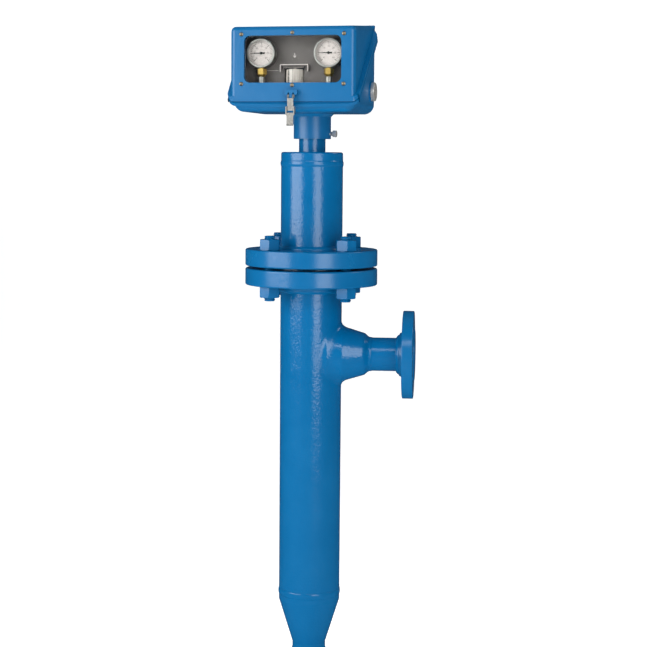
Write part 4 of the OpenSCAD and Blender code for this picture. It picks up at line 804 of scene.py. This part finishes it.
# The wheel's end from its pin outwards: height over the end, radius, and how far a rib stands out.
wheel_end = np.array([
    (-pin_out_mm, pin_r_mm, 0), (0, pin_r_mm + 0.05, 0), (0, drum_r_mm - 0.7, 0),
    (0.3, drum_r_mm - 0.1, 0), (0.8, drum_r_mm, 0), (1.1, drum_r_mm, rib_mm),
])


def ribbed_drum(columns=720):
    """Radius over height and turn. A rib is the upper part of a cosine cut off to a plateau, 30 to the turn.
    In the smooth sector, and near both ends, the drum stays plain."""
    turn = np.linspace(0, 2 * np.pi, columns, endpoint=False)[None]
    rib = np.clip(rib_level + rib_steepness * np.cos(wheel_ribs * turn), 0, 1)
    off = np.abs((turn - smooth_turn + np.pi) % (2 * np.pi) - np.pi)
    rib = rib * np.clip((off - smooth_half) / rib_run_out, 0, 1)
    low, high = wheel_end.copy(), wheel_end[::-1].copy()
    low[:, 0] = wheel_low_mm + low[:, 0]
    high[:, 0] = wheel_high_mm - high[:, 0]
    height, radius, stand_out = np.concatenate([low, high]).T[:, :, None]
    radius = radius + stand_out * rib
    return in_head(wheel_x_mm + radius * np.cos(turn), wheel_y_mm + radius * np.sin(turn), height + 0 * turn)


drum = smooth_mesh("ribbed_set_wheel", *shell(ribbed_drum()), moulded, edge_deg=28)
settle("ribbed_set_wheel", outward(drum), "set_point_wheel", ["set_point_wheel"])

# The figures are moulded a little proud of the drum, so that their flat faces clear its curve, and inked.
wheel_figure_mm, figure_rise_mm, figure_turn = 6.4, 0.2, smooth_turn + math.radians(8)
top_row_mm, row_pitch_mm = 16.3, 4.6
figure_parts = []
for row, words in enumerate(["2", "4", "6", "8"]):
    points, faces = figures(words, wheel_figure_mm)
    turn = figure_turn + points[:, 0] / (drum_r_mm + figure_rise_mm)
    radius = drum_r_mm + figure_rise_mm * (1 + points[:, 2] / ink_mm)
    figure_parts.append((in_head(
        wheel_x_mm + radius * np.cos(turn), wheel_y_mm + radius * np.sin(turn),
        wheel_low_mm + top_row_mm - row_pitch_mm * row + points[:, 1],
    ), faces))
column = outward(smooth_mesh("wheel_figures", *joined(figure_parts), needle_lacquer, edge_deg=20))
settle("wheel_figures", column, "set_point_wheel")

# Air manifold, relay and gauge couplings: manifold and relay body die-cast in aluminium, grey and grainy,
# with couplings turned from steel, whose tool marks run round them.
cast_block = worked_finish("die_cast_aluminium", "#8f9294", "#a5a8aa", metallic=1.0, roughness=0.5,
                           mottle_mm=9, grain_mm=0.7, depth_mm=0.03)
dress(cast_block, "manifold_block", "relay_block")
coupling_steel = worked_finish("turned_coupling_steel", "#83817d", "#a19f9b", metallic=1.0, roughness=0.45,
                               mottle_mm=4, grain_mm=0.3, depth_mm=0.01, stretch=(6, 6, 1))
dress(coupling_steel, "gauge_couplings")

# Air tubes: thin stainless tube, drawn bright through a die and bent to its route behind the panel. The
# die leaves long fine lines.
drawn_tube = worked_finish("drawn_stainless_tube", "#aaa8a4", "#c6c4c0", metallic=1.0, roughness=0.28,
                           mottle_mm=8, grain_mm=0.4, depth_mm=0.004, stretch=(4, 4, 1))
dress(drawn_tube, "air_tubes")

# Magnet arm: a cast aluminium arm on a turned steel pivot. Its magnet, pressed and sintered from powder,
# is near black and slightly porous.
dress(cast_block, "magnet_arm")
dress(turned_stainless, "arm_pivot")
magnet_ceramic = worked_finish("sintered_magnet", "#262628", "#363638", metallic=0.3, roughness=0.6,
                               mottle_mm=3, grain_mm=0.4, depth_mm=0.02)
dress(magnet_ceramic, "arm_magnet")
